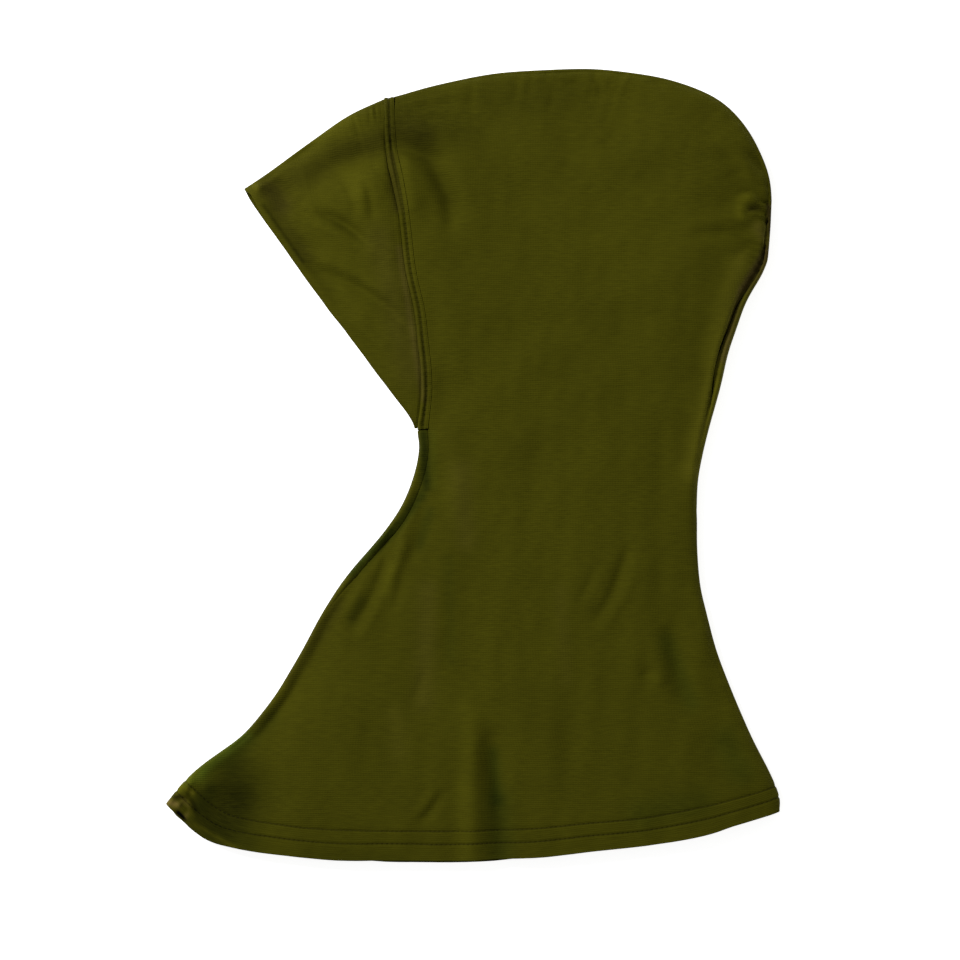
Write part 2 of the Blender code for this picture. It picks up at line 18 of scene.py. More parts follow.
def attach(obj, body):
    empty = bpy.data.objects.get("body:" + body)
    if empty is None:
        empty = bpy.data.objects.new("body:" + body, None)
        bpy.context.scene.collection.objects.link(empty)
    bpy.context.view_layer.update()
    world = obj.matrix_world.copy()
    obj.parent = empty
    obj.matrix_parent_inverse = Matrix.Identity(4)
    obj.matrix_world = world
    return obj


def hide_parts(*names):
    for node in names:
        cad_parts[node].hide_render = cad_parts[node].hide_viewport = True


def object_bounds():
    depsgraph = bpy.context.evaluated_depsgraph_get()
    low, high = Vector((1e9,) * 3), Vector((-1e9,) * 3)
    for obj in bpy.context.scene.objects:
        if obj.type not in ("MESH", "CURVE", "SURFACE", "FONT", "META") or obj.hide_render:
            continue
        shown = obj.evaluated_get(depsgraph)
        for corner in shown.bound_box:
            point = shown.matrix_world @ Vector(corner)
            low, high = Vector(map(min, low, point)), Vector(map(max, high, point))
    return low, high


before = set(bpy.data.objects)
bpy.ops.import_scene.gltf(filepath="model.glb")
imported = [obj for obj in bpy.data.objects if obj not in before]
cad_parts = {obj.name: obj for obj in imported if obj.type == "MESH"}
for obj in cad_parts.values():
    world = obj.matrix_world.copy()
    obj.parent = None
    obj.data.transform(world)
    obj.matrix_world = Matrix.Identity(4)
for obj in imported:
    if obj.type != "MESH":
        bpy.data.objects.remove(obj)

solid_low, solid_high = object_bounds()

# Outline of the cap, as in its solids
CAP_LENGTH = 0.420
HEM_WIDTH = 0.325
HEM_FRONT_RISE = 0.031
HEM_BACK_RISE = 0.027
NECK_WIDTH = 0.1465
NAPE_INSET = 0.044
NAPE_HEIGHT = 0.186
CHIN_HEIGHT = 0.2285
HEAD_WIDTH = 0.1865
HEAD_BACK_HEIGHT = 0.350
CROWN_REACH = 0.1095
SEAM_TOP_HEIGHT = 0.404
SEAM_LEAN = 0.0195
BROW_REACH = 0.074
BROW_TIP_HEIGHT = 0.3575
HEM_DEPTH = 0.0165
SEAM_WIDTH = 0.0056
SEAM_FOOT = 0.00035  # how far up its line from the chin the brow seam starts
SEAM_SLANT = 0.0008  # how much farther up its rear line starts
BROW_APEX = 0.0014  # how far up its edges from the chin the brow panel starts
MM = 0.001

# Cloth
JERSEY = 0.0010
BROW_CLOTH = 0.0015
HEM_CLOTH = 0.0017
SEAM_CLOTH = 0.0019
SOFT_RIM = 0.00018
BROW_RIM = 0.00045
SHARP_RIM = 0.00006
RIM_ANGLE = 55  # degrees
SEWN_GAP = 0.00012
LAP_REACH = 0.0007  # how far each edge runs in under the piece it is sewn to
LAP_DEPTH = 0.0024
MERGE_REACH = 0.000002
SLIVER = 0.000001
WRAP_RUN = 0.06  # length of flat cloth past the outline, enough for the part that wraps round

# How the laid cloth rises from the floor
EDGE_HEIGHT = 0.0055
EDGE_RISE = 0.0050
EDGE_TUCK = 0.0070
ROLLED_TUCK = 0.0018  # how soon an edge that stands up reaches its height
DOME_REACH = 0.050
DOME_SHARE = 0.86
NEAR_REACH = 0.0090
FOLD_CLEAR = 0.0026  # how far in from the outline the folds have their full rise
FOLD_END = 0.35  # share of its rise that a fold has at its ends
CHIN_FADE = 0.004
LOW_FADE = 0.08
VALLEY_SLOPE = 0.8
PUCKER_FADE = 0.2
RUMPLE_WAVES = 14
RUMPLE_SPREAD = 3.8
BROW_SINK = 0.30
BROW_DROOP = 0.0016  # how far the brow panel dips at the face edge
BROW_DROOP_REACH = 0.0025
BROW_DITCH = 0.0006  # how far it dips beside the brow seam
BROW_DITCH_REACH = 0.0009
HOOD_DITCH = 0.00004  # how far the hood dips behind the brow seam
HOOD_DITCH_REACH = 0.0006
PEEK = 0.0021  # how far the brow panel's under layer shows past its upper one, near the tip
PEEK_START = 0.006  # distance from the tip at which it shows in full
PEEK_END = 0.034  # distance from the tip at which it stops showing
PEEP = 0.0020  # how far the hem's under layer shows past its upper one
PEEP_FROM = 0.28  # shares of the hem's width between which it shows
PEEP_TO = 0.62
PEEP_FADE = 0.1
HEM_TENSION = 0.975  # the laid hem hangs this share of its full curve
HEM_CREASE = 0.00013
HEM_CREASE_PITCH = 0.0062
HEM_CREASE_PATCH = 0.055
SEAM_PROUD = 0.0005
SEAM_RIPPLE = 0.00010
SEAM_RIPPLE_PITCH = 0.0052

# Stitches
HEM_ROW_HEIGHT = 0.0089  # lower row of stitches above the hem's edge
HEM_TOP_ROW = 0.0161  # upper row of stitches above the hem's edge
BROW_ROW_INSET = 0.0031  # row of stitches behind the brow seam's front line
BROW_STITCH_SLANT = 0.12
STITCH_PITCH = 0.0026
STITCH_LENGTH = 0.0019
STITCH_WIDTH = 0.00050
STITCH_HEIGHT = 0.00036
STITCH_LIFT = 0.00008
STITCH_REACH = 0.0004  # half the run over which a stitch takes its direction
CHANNEL_DEPTH = 0.00045
CHANNEL_REACH = 0.0007
JOIN_DEPTH = 0.000225  # depth of the channel where the hem joins the sides
ROW_CLOSENESS = 5
ROW_CLOSE_REACH = 0.0013
# Painted shade in the needle holes and along each row of stitches, in the cloth's finish
HOLE_REACH = 0.00050
HOLE_DARK = 0.50
LINE_DARK = 0.18

Bend = namedtuple("Bend", "up across")
Sag = namedtuple("Sag", "across drop")
Lean = namedtuple("Lean", "up back")
Loft = namedtuple("Loft", "up height")
Roll = namedtuple("Roll", "along roll groove")
Fold = namedtuple("Fold", "across0 up0 across1 up1 bow width rise")
Pucker = namedtuple("Pucker", "start end pitch reach rise")
Row = namedtuple("Row", "line roll groove sewn")
Valley = namedtuple("Valley", "along stand dip place inner")
Nudge = namedtuple("Nudge", "across up reach back rise")
PaintedShade = namedtuple("PaintedShade", "across0 up0 across1 up1 reach darker warmer")
Rumple = namedtuple("Rumple", "rise across up seed")
Swell = namedtuple("Swell", "rise place reach")

# Uneven waves of the laid cloth: rise, about how long they are across and up the cap, and their seed
BIB_RUMPLE = Rumple(0.00046, 0.020, 0.090, 5)
HEAD_RUMPLE = Rumple(0.00034, 0.035, 0.030, 6)
FINE_RUMPLE = Rumple(0.00013, 0.011, 0.014, 7)
SHIFT_BACK = Rumple(0.00028, 0.040, 0.036, 11)
SHIFT_UP = Rumple(0.00028, 0.040, 0.040, 12)

# Ridges and channels across a seam: rise, place behind the seam's line and reach
SEAM_SWELLS = (
    Swell(0.00075, 0.0015, 0.0009), Swell(0.00022, 0.0044, 0.0009), Swell(-0.00055, BROW_ROW_INSET, 0.0005),
    Swell(-0.00120, 0.0, 0.0005),
)
CENTRE_FURROW = (Swell(0.60, 0.0, 0.0009), Swell(-0.15, 0.0030, 0.0016))

# Lines of the outline, each a table of places along it as shares

FRONT_EDGE = (
    Bend(0.000, 0.000), Bend(0.091, 0.118), Bend(0.198, 0.319), Bend(0.359, 0.492), Bend(0.520, 0.622),
    Bend(0.627, 0.732), Bend(0.735, 0.866), Bend(0.842, 0.957), Bend(0.949, 0.996), Bend(1.000, 1.000),
)
BACK_EDGE_LOW = (
    Bend(0.000, 1.000), Bend(0.050, 0.990), Bend(0.140, 0.867), Bend(0.272, 0.627), Bend(0.405, 0.422),
    Bend(0.538, 0.241), Bend(0.671, 0.108), Bend(0.804, 0.024), Bend(1.000, 0.000),
)
BACK_EDGE_HIGH = (
    Bend(0.000, 0.000), Bend(0.132, 0.040), Bend(0.261, 0.158), Bend(0.390, 0.303), Bend(0.519, 0.434),
    Bend(0.648, 0.618), Bend(0.777, 0.882), Bend(0.842, 0.955), Bend(1.000, 1.000),
)
CROWN_BACK_POWER = 2.3
CROWN_FRONT_POWER = 1.9
BROW_FOLD_BOW = 0.15
FACE_EDGE_BOW = 0.010

# Drop of the hem between its corners
HEM_LINE = (
    Sag(0.000, 0.000), Sag(0.049, 0.490), Sag(0.098, 0.720), Sag(0.196, 0.895), Sag(0.294, 0.975),
    Sag(0.440, 1.000), Sag(0.587, 0.925), Sag(0.685, 0.810), Sag(0.783, 0.680), Sag(0.881, 0.460),
    Sag(0.930, 0.270), Sag(1.000, 0.000),
)

# The brow seam from the chin to the crown, and how far it leans back, as shares of its length
BROW_SEAM = (
    Lean(0.000, 0.000), Lean(0.060, 0.006), Lean(0.125, 0.017), Lean(0.223, 0.025), Lean(0.326, 0.022),
    Lean(0.481, 0.011), Lean(0.595, 0.008), Lean(0.734, 0.004), Lean(0.844, -0.008), Lean(1.000, 0.000),
)

# Height of the laid cap at shares of its length
LOFTS = (
    Loft(0.00, 0.0135), Loft(0.15, 0.0145), Loft(0.35, 0.0155), Loft(0.50, 0.0170), Loft(0.72, 0.0200),
    Loft(0.88, 0.0200), Loft(1.00, 0.0185),
)

# The centre seam along the outline: how far in on the upper layer it lies, and the depth of its furrow
FRONT_ROLLS = (
    Roll(0.00, 0.0010, 0.0003), Roll(0.54, 0.0010, 0.0003), Roll(0.64, 0.0044, 0.0009),
    Roll(0.80, 0.0058, 0.0009), Roll(1.00, 0.0052, 0.0003),
)
CROWN_ROLLS = (
    Roll(0.00, 0.0010, 0.0003), Roll(0.35, 0.0018, 0.0004), Roll(0.60, 0.0012, 0.0003),
    Roll(1.00, 0.0018, 0.0006),
)
BACK_ROLLS = (
    Roll(0.00, 0.0018, 0.0006), Roll(0.08, 0.0030, 0.0014), Roll(0.17, 0.0048, 0.0020),
    Roll(0.28, 0.0048, 0.0018), Roll(0.36, 0.0024, 0.0008), Roll(0.48, 0.0010, 0.0003),
    Roll(1.00, 0.0010, 0.0003),
)

# Folds of the upper layer: ends as shares of the hem width and cap length, sideways bow as a share of the
# fold's own length, then half width and rise in millimetres
FOLDS = (
    # Bib
    Fold(0.531, 0.155, 0.543, -0.020, 0.03, 5.8, -4.2), Fold(0.496, 0.200, 0.501, -0.020, 0.00, 5.4, 2.4),
    Fold(0.450, 0.086, 0.417, 0.050, 0.05, 2.5, -1.4), Fold(0.437, 0.092, 0.408, 0.060, 0.05, 2.5, 0.8),
    Fold(0.150, 0.040, 0.170, 0.120, 0.00, 20.0, -1.6), Fold(0.230, 0.256, 0.126, 0.143, 0.06, 3.0, -1.2),
    Fold(0.824, 0.304, 0.856, 0.195, -0.04, 6.5, -3.3), Fold(0.792, 0.300, 0.815, 0.200, -0.04, 5.0, 1.0),
    Fold(0.778, 0.243, 0.786, 0.236, 0.00, 4.0, -1.5), Fold(0.800, 0.238, 0.804, 0.222, 0.00, 3.0, 1.0),
    Fold(0.903, 0.154, 0.955, 0.128, 0.05, 4.0, -1.4), Fold(0.751, 0.395, 0.699, 0.304, 0.04, 3.0, -1.5),
    Fold(0.762, 0.372, 0.712, 0.290, 0.04, 3.0, 0.9), Fold(0.699, 0.370, 0.668, 0.328, 0.04, 2.5, -1.0),
    Fold(0.420, 0.240, 0.404, 0.210, 0.04, 2.5, -0.8), Fold(0.640, 0.260, 0.655, 0.120, 0.05, 9.0, -0.9),
    Fold(0.300, 0.230, 0.280, 0.080, 0.05, 12.0, 0.9), Fold(0.560, 0.300, 0.565, 0.200, 0.03, 6.0, 0.8),
    # Front corner of the hem
    Fold(0.070, 0.043, 0.100, 0.101, 0.00, 12.0, -4.6), Fold(0.114, 0.034, 0.137, 0.091, 0.00, 12.0, -2.2),
    Fold(0.016, 0.087, 0.034, 0.062, 0.10, 2.4, 1.5), Fold(0.024, 0.107, 0.044, 0.095, 0.10, 2.4, 1.4),
    Fold(0.010, 0.071, 0.029, 0.078, 0.10, 1.6, -1.2), Fold(0.018, 0.063, 0.033, 0.050, 0.00, 1.5, -1.8),
    Fold(0.034, 0.088, 0.044, 0.050, 0.12, 1.8, 1.5), Fold(0.024, 0.080, 0.040, 0.076, 0.10, 1.4, -1.0),
    Fold(0.041, 0.095, 0.052, 0.062, -0.10, 1.6, -1.1), Fold(0.023, 0.093, 0.039, 0.102, 0.10, 1.3, -1.0),
    Fold(0.101, 0.139, 0.156, 0.184, 0.05, 5.0, -1.6),
    # Throat
    Fold(0.440, 0.532, 0.448, 0.456, 0.04, 5.0, -1.6), Fold(0.466, 0.552, 0.482, 0.431, -0.03, 6.0, 1.4),
    Fold(0.391, 0.434, 0.367, 0.356, 0.05, 3.6, 2.0), Fold(0.368, 0.416, 0.310, 0.298, 0.05, 3.4, -2.4),
    Fold(0.329, 0.381, 0.284, 0.305, 0.05, 3.0, 1.0), Fold(0.385, 0.366, 0.373, 0.323, 0.05, 3.0, -1.4),
    Fold(0.420, 0.456, 0.401, 0.381, 0.05, 3.5, -1.3), Fold(0.345, 0.340, 0.319, 0.280, 0.04, 3.5, 1.0),
    # Neck and nape
    Fold(0.520, 0.470, 0.540, 0.330, 0.04, 6.0, -0.8), Fold(0.610, 0.560, 0.585, 0.420, 0.05, 7.0, -0.8),
    Fold(0.700, 0.640, 0.690, 0.470, 0.04, 9.0, 0.8), Fold(0.800, 0.560, 0.790, 0.400, 0.04, 7.0, -0.9),
    Fold(0.934, 0.755, 0.895, 0.600, -0.05, 6.0, 2.1), Fold(0.895, 0.600, 0.862, 0.440, -0.03, 5.0, 1.2),
    # Hood beside the brow seam
    Fold(0.362, 0.908, 0.456, 0.885, -0.05, 4.6, -3.4), Fold(0.368, 0.933, 0.446, 0.916, -0.05, 4.6, 1.6),
    Fold(0.375, 0.946, 0.502, 0.953, 0.04, 3.2, -1.4), Fold(0.372, 0.928, 0.505, 0.936, 0.05, 2.8, -0.8),
    Fold(0.368, 0.955, 0.460, 0.971, 0.03, 2.4, -1.0), Fold(0.388, 0.885, 0.404, 0.815, 0.06, 6.0, 2.4),
    Fold(0.417, 0.888, 0.466, 0.799, 0.12, 5.4, -3.8), Fold(0.471, 0.873, 0.502, 0.784, 0.08, 6.0, 1.2),
    Fold(0.416, 0.747, 0.430, 0.643, 0.03, 5.0, -0.7), Fold(0.455, 0.721, 0.469, 0.600, 0.03, 6.0, 0.6),
    Fold(0.427, 0.643, 0.437, 0.552, 0.03, 4.0, 0.9),
    # Brow panel
    Fold(0.228, 0.855, 0.375, 0.889, 0.08, 7.0, -4.2), Fold(0.292, 0.828, 0.349, 0.865, -0.10, 9.0, 3.0),
    Fold(0.254, 0.817, 0.329, 0.779, 0.06, 2.8, -2.9), Fold(0.254, 0.799, 0.303, 0.772, 0.06, 3.0, 1.6),
    Fold(0.218, 0.828, 0.261, 0.799, 0.06, 4.0, 1.8), Fold(0.199, 0.830, 0.248, 0.805, 0.06, 2.6, -1.4),
    Fold(0.166, 0.837, 0.292, 0.696, -0.02, 5.0, -3.4), Fold(0.287, 0.696, 0.394, 0.580, 0.00, 4.0, -1.6),
    Fold(0.142, 0.854, 0.152, 0.846, 0.00, 2.6, 2.0), Fold(0.169, 0.860, 0.196, 0.827, 0.10, 5.6, -3.6),
    Fold(0.241, 0.749, 0.401, 0.671, 0.06, 4.0, -2.9), Fold(0.257, 0.757, 0.398, 0.686, 0.06, 4.2, 1.8),
    Fold(0.300, 0.671, 0.389, 0.608, 0.05, 4.0, -1.4), Fold(0.292, 0.681, 0.381, 0.625, 0.05, 4.0, 0.8),
    Fold(0.368, 0.890, 0.381, 0.822, 0.02, 4.0, -2.6), Fold(0.378, 0.817, 0.409, 0.658, -0.02, 4.0, -1.6),
    Fold(0.331, 0.956, 0.334, 0.928, 0.00, 1.1, -0.9), Fold(0.341, 0.958, 0.344, 0.927, 0.00, 1.1, -0.9),
    Fold(0.350, 0.960, 0.352, 0.926, 0.00, 1.1, -0.9), Fold(0.202, 0.885, 0.248, 0.905, 0.05, 4.0, -1.6),
    Fold(0.290, 0.858, 0.310, 0.816, 0.05, 2.6, -1.3), Fold(0.326, 0.858, 0.336, 0.810, 0.05, 2.6, -1.3),
    Fold(0.218, 0.784, 0.254, 0.757, 0.05, 3.4, -1.2),
    # Crown
    Fold(0.570, 0.991, 0.564, 0.953, 0.05, 2.6, -0.7), Fold(0.598, 0.996, 0.591, 0.963, 0.05, 2.2, -0.8),
    Fold(0.622, 0.996, 0.624, 0.946, 0.08, 2.8, -0.9), Fold(0.691, 0.994, 0.707, 0.966, 0.08, 2.0, -1.0),
    Fold(0.727, 0.991, 0.717, 0.971, 0.05, 1.8, -0.7), Fold(0.785, 0.981, 0.811, 0.971, 0.08, 2.2, -1.2),
    Fold(0.689, 0.966, 0.763, 0.962, 0.05, 2.4, -0.9), Fold(0.642, 0.976, 0.678, 0.981, 0.05, 2.2, -0.7),
    Fold(0.495, 0.971, 0.489, 0.936, 0.04, 3.2, -0.6), Fold(0.642, 0.936, 0.662, 0.860, 0.04, 7.0, -0.6),
    Fold(0.772, 0.961, 0.818, 0.928, 0.04, 4.0, -0.7),
    # Back of the head
    Fold(0.851, 0.788, 0.945, 0.793, 0.03, 4.0, -1.5), Fold(0.854, 0.799, 0.939, 0.805, 0.03, 4.0, 0.7),
    Fold(0.939, 0.835, 0.963, 0.834, 0.10, 2.8, 2.0), Fold(0.929, 0.841, 0.965, 0.844, 0.12, 1.7, -1.5),
    Fold(0.947, 0.820, 0.974, 0.817, 0.18, 1.9, -2.3), Fold(0.974, 0.821, 0.979, 0.802, 0.05, 1.7, -1.7),
    Fold(0.963, 0.836, 0.983, 0.826, 0.08, 1.7, -1.9), Fold(0.935, 0.827, 0.940, 0.806, -0.08, 2.6, 1.5),
    Fold(0.947, 0.806, 0.963, 0.801, 0.05, 1.7, -0.9), Fold(0.953, 0.799, 0.978, 0.773, 0.05, 3.0, 1.9),
    Fold(0.926, 0.760, 0.953, 0.781, 0.05, 2.4, -0.7), Fold(0.948, 0.895, 0.973, 0.871, 0.08, 2.8, -2.1),
    Fold(0.937, 0.888, 0.955, 0.860, 0.05, 3.2, 1.0), Fold(0.877, 0.888, 0.930, 0.878, 0.05, 3.6, -1.0),
    Fold(0.912, 0.860, 0.942, 0.869, 0.05, 2.6, -0.9), Fold(0.916, 0.847, 0.939, 0.855, 0.05, 2.6, -0.7),
    Fold(0.890, 0.830, 0.929, 0.822, 0.05, 4.0, -0.7),
)

# Small gathers that run in from the outline: start and end along it as shares, spacing and reach in
# millimetres, rise in millimetres. The back outline runs from the brow tip over the crown to the hem.
BACK_PUCKERS = (
    Pucker(0.08, 0.14, 5.0, 12.0, 0.38), Pucker(0.14, 0.22, 7.0, 18.0, 0.30),
    Pucker(0.22, 0.36, 8.0, 12.0, 0.45), Pucker(0.36, 0.47, 10.0, 12.0, 0.22),
    Pucker(0.47, 0.57, 5.5, 12.0, 0.83), Pucker(0.57, 0.75, 9.0, 10.0, 0.33),
    Pucker(0.75, 0.95, 12.0, 10.0, 0.18),
)
FRONT_PUCKERS = (
    Pucker(0.05, 0.50, 11.0, 12.0, 0.22), Pucker(0.50, 0.74, 6.5, 12.0, 0.60),
    Pucker(0.74, 0.98, 7.0, 7.0, 0.33),
)

# Valleys beside the outline, where the edge stands up and the upper layer dips before it rises again: share
# along the outline, how upright the edge stands, then the dip, its place in from the edge and how soon the
# layer rises again, in millimetres
FRONT_VALLEYS = (
    Valley(0.00, 0.5, 0.8, 8.0, 8.0), Valley(0.10, 0.7, 1.6, 8.5, 9.0), Valley(0.25, 0.8, 1.8, 8.0, 8.0),
    Valley(0.45, 0.9, 1.8, 7.0, 7.0), Valley(0.60, 0.9, 1.9, 6.0, 4.0), Valley(0.72, 1.0, 1.9, 5.6, 2.2),
    Valley(0.82, 1.0, 1.7, 5.6, 1.6), Valley(0.92, 1.0, 0.9, 5.4, 2.2), Valley(1.00, 1.0, 0.5, 5.2, 2.4),
)
BACK_VALLEYS = (
    Valley(0.00, 0.2, 0.2, 2.0, 1.5), Valley(0.22, 0.2, 0.2, 2.0, 1.5), Valley(0.30, 0.6, 0.7, 2.2, 1.4),
    Valley(0.34, 0.6, 0.7, 2.2, 1.4), Valley(0.40, 0.2, 0.2, 2.0, 1.5), Valley(0.48, 0.6, 0.6, 2.0, 1.2),
    Valley(0.522, 0.7, 0.6, 2.2, 1.2), Valley(0.534, 0.9, 2.0, 3.0, 1.3), Valley(0.56, 1.0, 2.8, 4.4, 1.6),
    Valley(0.60, 1.0, 2.5, 4.6, 1.4), Valley(0.65, 0.9, 1.6, 3.8, 1.2), Valley(0.70, 0.6, 0.8, 2.8, 1.0),
    Valley(0.76, 0.3, 0.3, 2.0, 1.0), Valley(1.00, 0.3, 0.3, 2.0, 1.0),
)

# Small shifts of the laid outline: centre as shares, reach, then shift to the back and up, in millimetres
NUDGES = (
    Nudge(0.179, 0.875, 22.0, 1.0, -1.2), Nudge(0.292, 0.938, 20.0, -0.3, 1.2),
    Nudge(0.385, 0.974, 16.0, 0.0, -0.8), Nudge(0.870, 0.961, 26.0, 0.9, 1.5),
    Nudge(0.965, 0.898, 16.0, -1.2, -1.0), Nudge(0.416, 0.545, 8.0, -1.3, 0.0),
    Nudge(0.414, 0.000, 34.0, 0.0, 0.9),
)

# Painted shade and painted highlights on the cloth, where folds, hollows and rims lie in shade or catch the
# light: ends as shares, reach in millimetres, how much painted shade or, below 0, painted highlight, and how
# much warmer or, below 0, greener
PAINTED_SHADES = (
    # Front corner and hem
    PaintedShade(0.078, 0.058, 0.104, 0.081, 17.0, 0.52, -0.12), PaintedShade(0.078, 0.040, 0.137, 0.025, 7.0, 0.22, -0.10),
    PaintedShade(0.121, 0.053, 0.127, 0.119, 8.0, 0.16, -0.05), PaintedShade(0.055, 0.071, 0.072, 0.093, 5.0, 0.24, -0.20),
    PaintedShade(0.218, 0.008, 0.373, 0.005, 5.0, 0.14, -0.05), PaintedShade(0.005, 0.076, 0.018, 0.074, 2.0, -0.90, 0.65),
    PaintedShade(0.029, 0.081, 0.039, 0.071, 1.5, -0.75, 0.35), PaintedShade(0.033, 0.059, 0.041, 0.063, 1.2, -0.70, 0.40),
    PaintedShade(0.021, 0.091, 0.026, 0.096, 1.5, -0.90, -0.05), PaintedShade(0.036, 0.093, 0.044, 0.088, 1.3, -0.70, 0.20),
    PaintedShade(0.015, 0.083, 0.023, 0.084, 1.0, 0.60, 0.10), PaintedShade(0.024, 0.071, 0.029, 0.076, 1.0, 0.50, 0.10),
    PaintedShade(0.020, 0.064, 0.033, 0.055, 1.1, 1.10, 0.30), PaintedShade(0.042, 0.078, 0.047, 0.068, 1.3, 0.35, 0.10),
    PaintedShade(0.039, 0.103, 0.055, 0.108, 4.0, -1.00, -0.45), PaintedShade(0.065, 0.119, 0.130, 0.160, 4.0, -0.42, -0.60),
    PaintedShade(0.049, 0.048, 0.114, 0.020, 1.0, -0.35, 0.15),
    # Front of the bib and throat
    PaintedShade(0.101, 0.121, 0.169, 0.182, 5.5, 0.22, -0.15), PaintedShade(0.199, 0.235, 0.280, 0.325, 4.5, 0.20, 0.05),
    PaintedShade(0.303, 0.308, 0.319, 0.330, 3.0, 0.30, -0.10), PaintedShade(0.420, 0.540, 0.424, 0.474, 2.8, 0.55, -0.50),
    PaintedShade(0.437, 0.540, 0.438, 0.474, 2.2, -0.14, -0.15), PaintedShade(0.429, 0.441, 0.414, 0.400, 3.0, 0.26, -0.20),
    PaintedShade(0.416, 0.462, 0.380, 0.426, 2.8, 0.40, -0.45), PaintedShade(0.368, 0.417, 0.303, 0.366, 2.8, 0.34, -0.65),
    PaintedShade(0.368, 0.373, 0.358, 0.343, 3.0, -0.16, 0.00), PaintedShade(0.427, 0.343, 0.420, 0.204, 6.0, -0.13, 0.10),
    PaintedShade(0.460, 0.381, 0.466, 0.255, 3.5, 0.07, -0.10), PaintedShade(0.642, 0.343, 0.652, 0.230, 4.0, -0.07, 0.05),
    PaintedShade(0.727, 0.368, 0.691, 0.318, 3.0, 0.08, 0.00), PaintedShade(0.482, 0.494, 0.489, 0.406, 6.0, -0.12, 0.10),
    PaintedShade(0.375, 0.185, 0.381, 0.141, 6.0, -0.12, 0.05),
    # Folds of the bib
    PaintedShade(0.499, 0.185, 0.482, 0.091, 5.0, -0.10, 0.00), PaintedShade(0.482, 0.091, 0.495, -0.008, 6.0, -0.15, 0.00),
    PaintedShade(0.533, 0.139, 0.538, 0.078, 3.4, 0.20, -0.35), PaintedShade(0.541, 0.078, 0.547, -0.008, 7.0, 0.26, -0.28),
    PaintedShade(0.815, 0.280, 0.854, 0.202, 5.0, 0.12, -0.25), PaintedShade(0.870, 0.078, 0.772, 0.063, 8.0, 0.12, -0.20),
    PaintedShade(0.912, 0.154, 0.935, 0.116, 8.0, 0.08, -0.25),
    # Brow panel
    PaintedShade(0.169, 0.850, 0.248, 0.875, 8.5, 0.22, 0.05), PaintedShade(0.284, 0.895, 0.345, 0.907, 6.5, 0.27, 0.05),
    PaintedShade(0.169, 0.847, 0.192, 0.827, 5.0, 0.24, 0.15), PaintedShade(0.179, 0.820, 0.228, 0.764, 4.6, 0.22, 0.05),
    PaintedShade(0.218, 0.772, 0.267, 0.719, 4.0, 0.12, 0.00), PaintedShade(0.143, 0.855, 0.150, 0.847, 1.8, -0.35, 0.00),
    PaintedShade(0.202, 0.898, 0.300, 0.938, 3.4, -0.14, 0.00), PaintedShade(0.303, 0.863, 0.326, 0.827, 6.0, -0.14, 0.00),
    PaintedShade(0.272, 0.807, 0.310, 0.787, 1.8, 0.16, 0.00), PaintedShade(0.160, 0.827, 0.225, 0.755, 1.0, 0.34, 0.00),
    PaintedShade(0.367, 0.888, 0.378, 0.822, 2.6, 0.16, 0.15), PaintedShade(0.350, 0.784, 0.398, 0.618, 8.0, 0.05, 0.10),
    # Hood
    PaintedShade(0.381, 0.921, 0.420, 0.912, 7.0, 0.24, 0.05), PaintedShade(0.375, 0.946, 0.642, 0.971, 15.0, 0.20, 0.00),
    PaintedShade(0.420, 0.910, 0.495, 0.918, 9.0, 0.16, 0.00), PaintedShade(0.424, 0.883, 0.456, 0.832, 4.6, 0.24, 0.00),
    PaintedShade(0.381, 0.772, 0.420, 0.583, 2.0, -0.05, 0.25), PaintedShade(0.388, 0.875, 0.398, 0.827, 3.0, -0.12, 0.00),
    PaintedShade(0.797, 0.797, 0.838, 0.532, 28.0, -0.09, 0.00),
    # Back of the head and nape
    PaintedShade(0.981, 0.827, 0.984, 0.792, 1.2, 0.55, 0.60), PaintedShade(0.978, 0.769, 0.942, 0.724, 2.4, 0.24, 0.70),
    PaintedShade(0.935, 0.719, 0.906, 0.633, 1.8, 0.15, 0.40), PaintedShade(0.963, 0.799, 0.978, 0.781, 3.4, -0.24, 0.20),
    PaintedShade(0.986, 0.764, 0.965, 0.729, 1.6, -0.35, 0.40), PaintedShade(0.937, 0.832, 0.937, 0.815, 3.0, -0.32, 0.00),
    PaintedShade(0.948, 0.836, 0.961, 0.834, 1.8, -0.25, 0.00), PaintedShade(0.935, 0.757, 0.857, 0.494, 6.0, -0.42, 0.05),
    PaintedShade(0.896, 0.895, 0.906, 0.888, 4.0, 0.10, 0.00), PaintedShade(0.952, 0.893, 0.968, 0.875, 1.6, 0.20, 0.00),
    PaintedShade(0.950, 0.822, 0.965, 0.823, 1.5, 0.30, 0.10),
)

# How finely the cloth is divided
LINE_STEPS = 14
ACROSS_STEPS = 8 * LINE_STEPS
BODY_ROWS = 124
SEAM_ROWS = 92
CROWN_ROWS = 132
NEAR_COLUMNS = 14
UPPER_COLUMNS = 62
WRAP_COLUMNS = 5
TURN_COLUMNS = 10
UNDER_COLUMNS = 22
HEM_ROWS = 38
BROW_ROWS = 120
BROW_COLUMNS = 96
SEAM_LONG_ROWS = 260
SEAM_COLUMNS = 24
ROW_MIDDLE = 0.46
FAN_ACROSS = 0.47
FAN_UP = 0.52
CHUNK = 1500


def smooth_line(points):
    """A dense line through the points, rounded between them as a Catmull-Rom curve."""
    ends = np.array(points, float)
    padded = np.vstack([2 * ends[0] - ends[1], ends, 2 * ends[-1] - ends[-2]])
    line = []
    for before, start, end, after in zip(padded, padded[1:], padded[2:], padded[3:]):
        for t in np.arange(LINE_STEPS) / LINE_STEPS:
            bend = 2 * before - 5 * start + 4 * end - after
            twist = 3 * start - before - 3 * end + after
            line.append(start + 0.5 * ((end - before) * t + bend * t**2 + twist * t**3))
    return np.array(line + [ends[-1]])


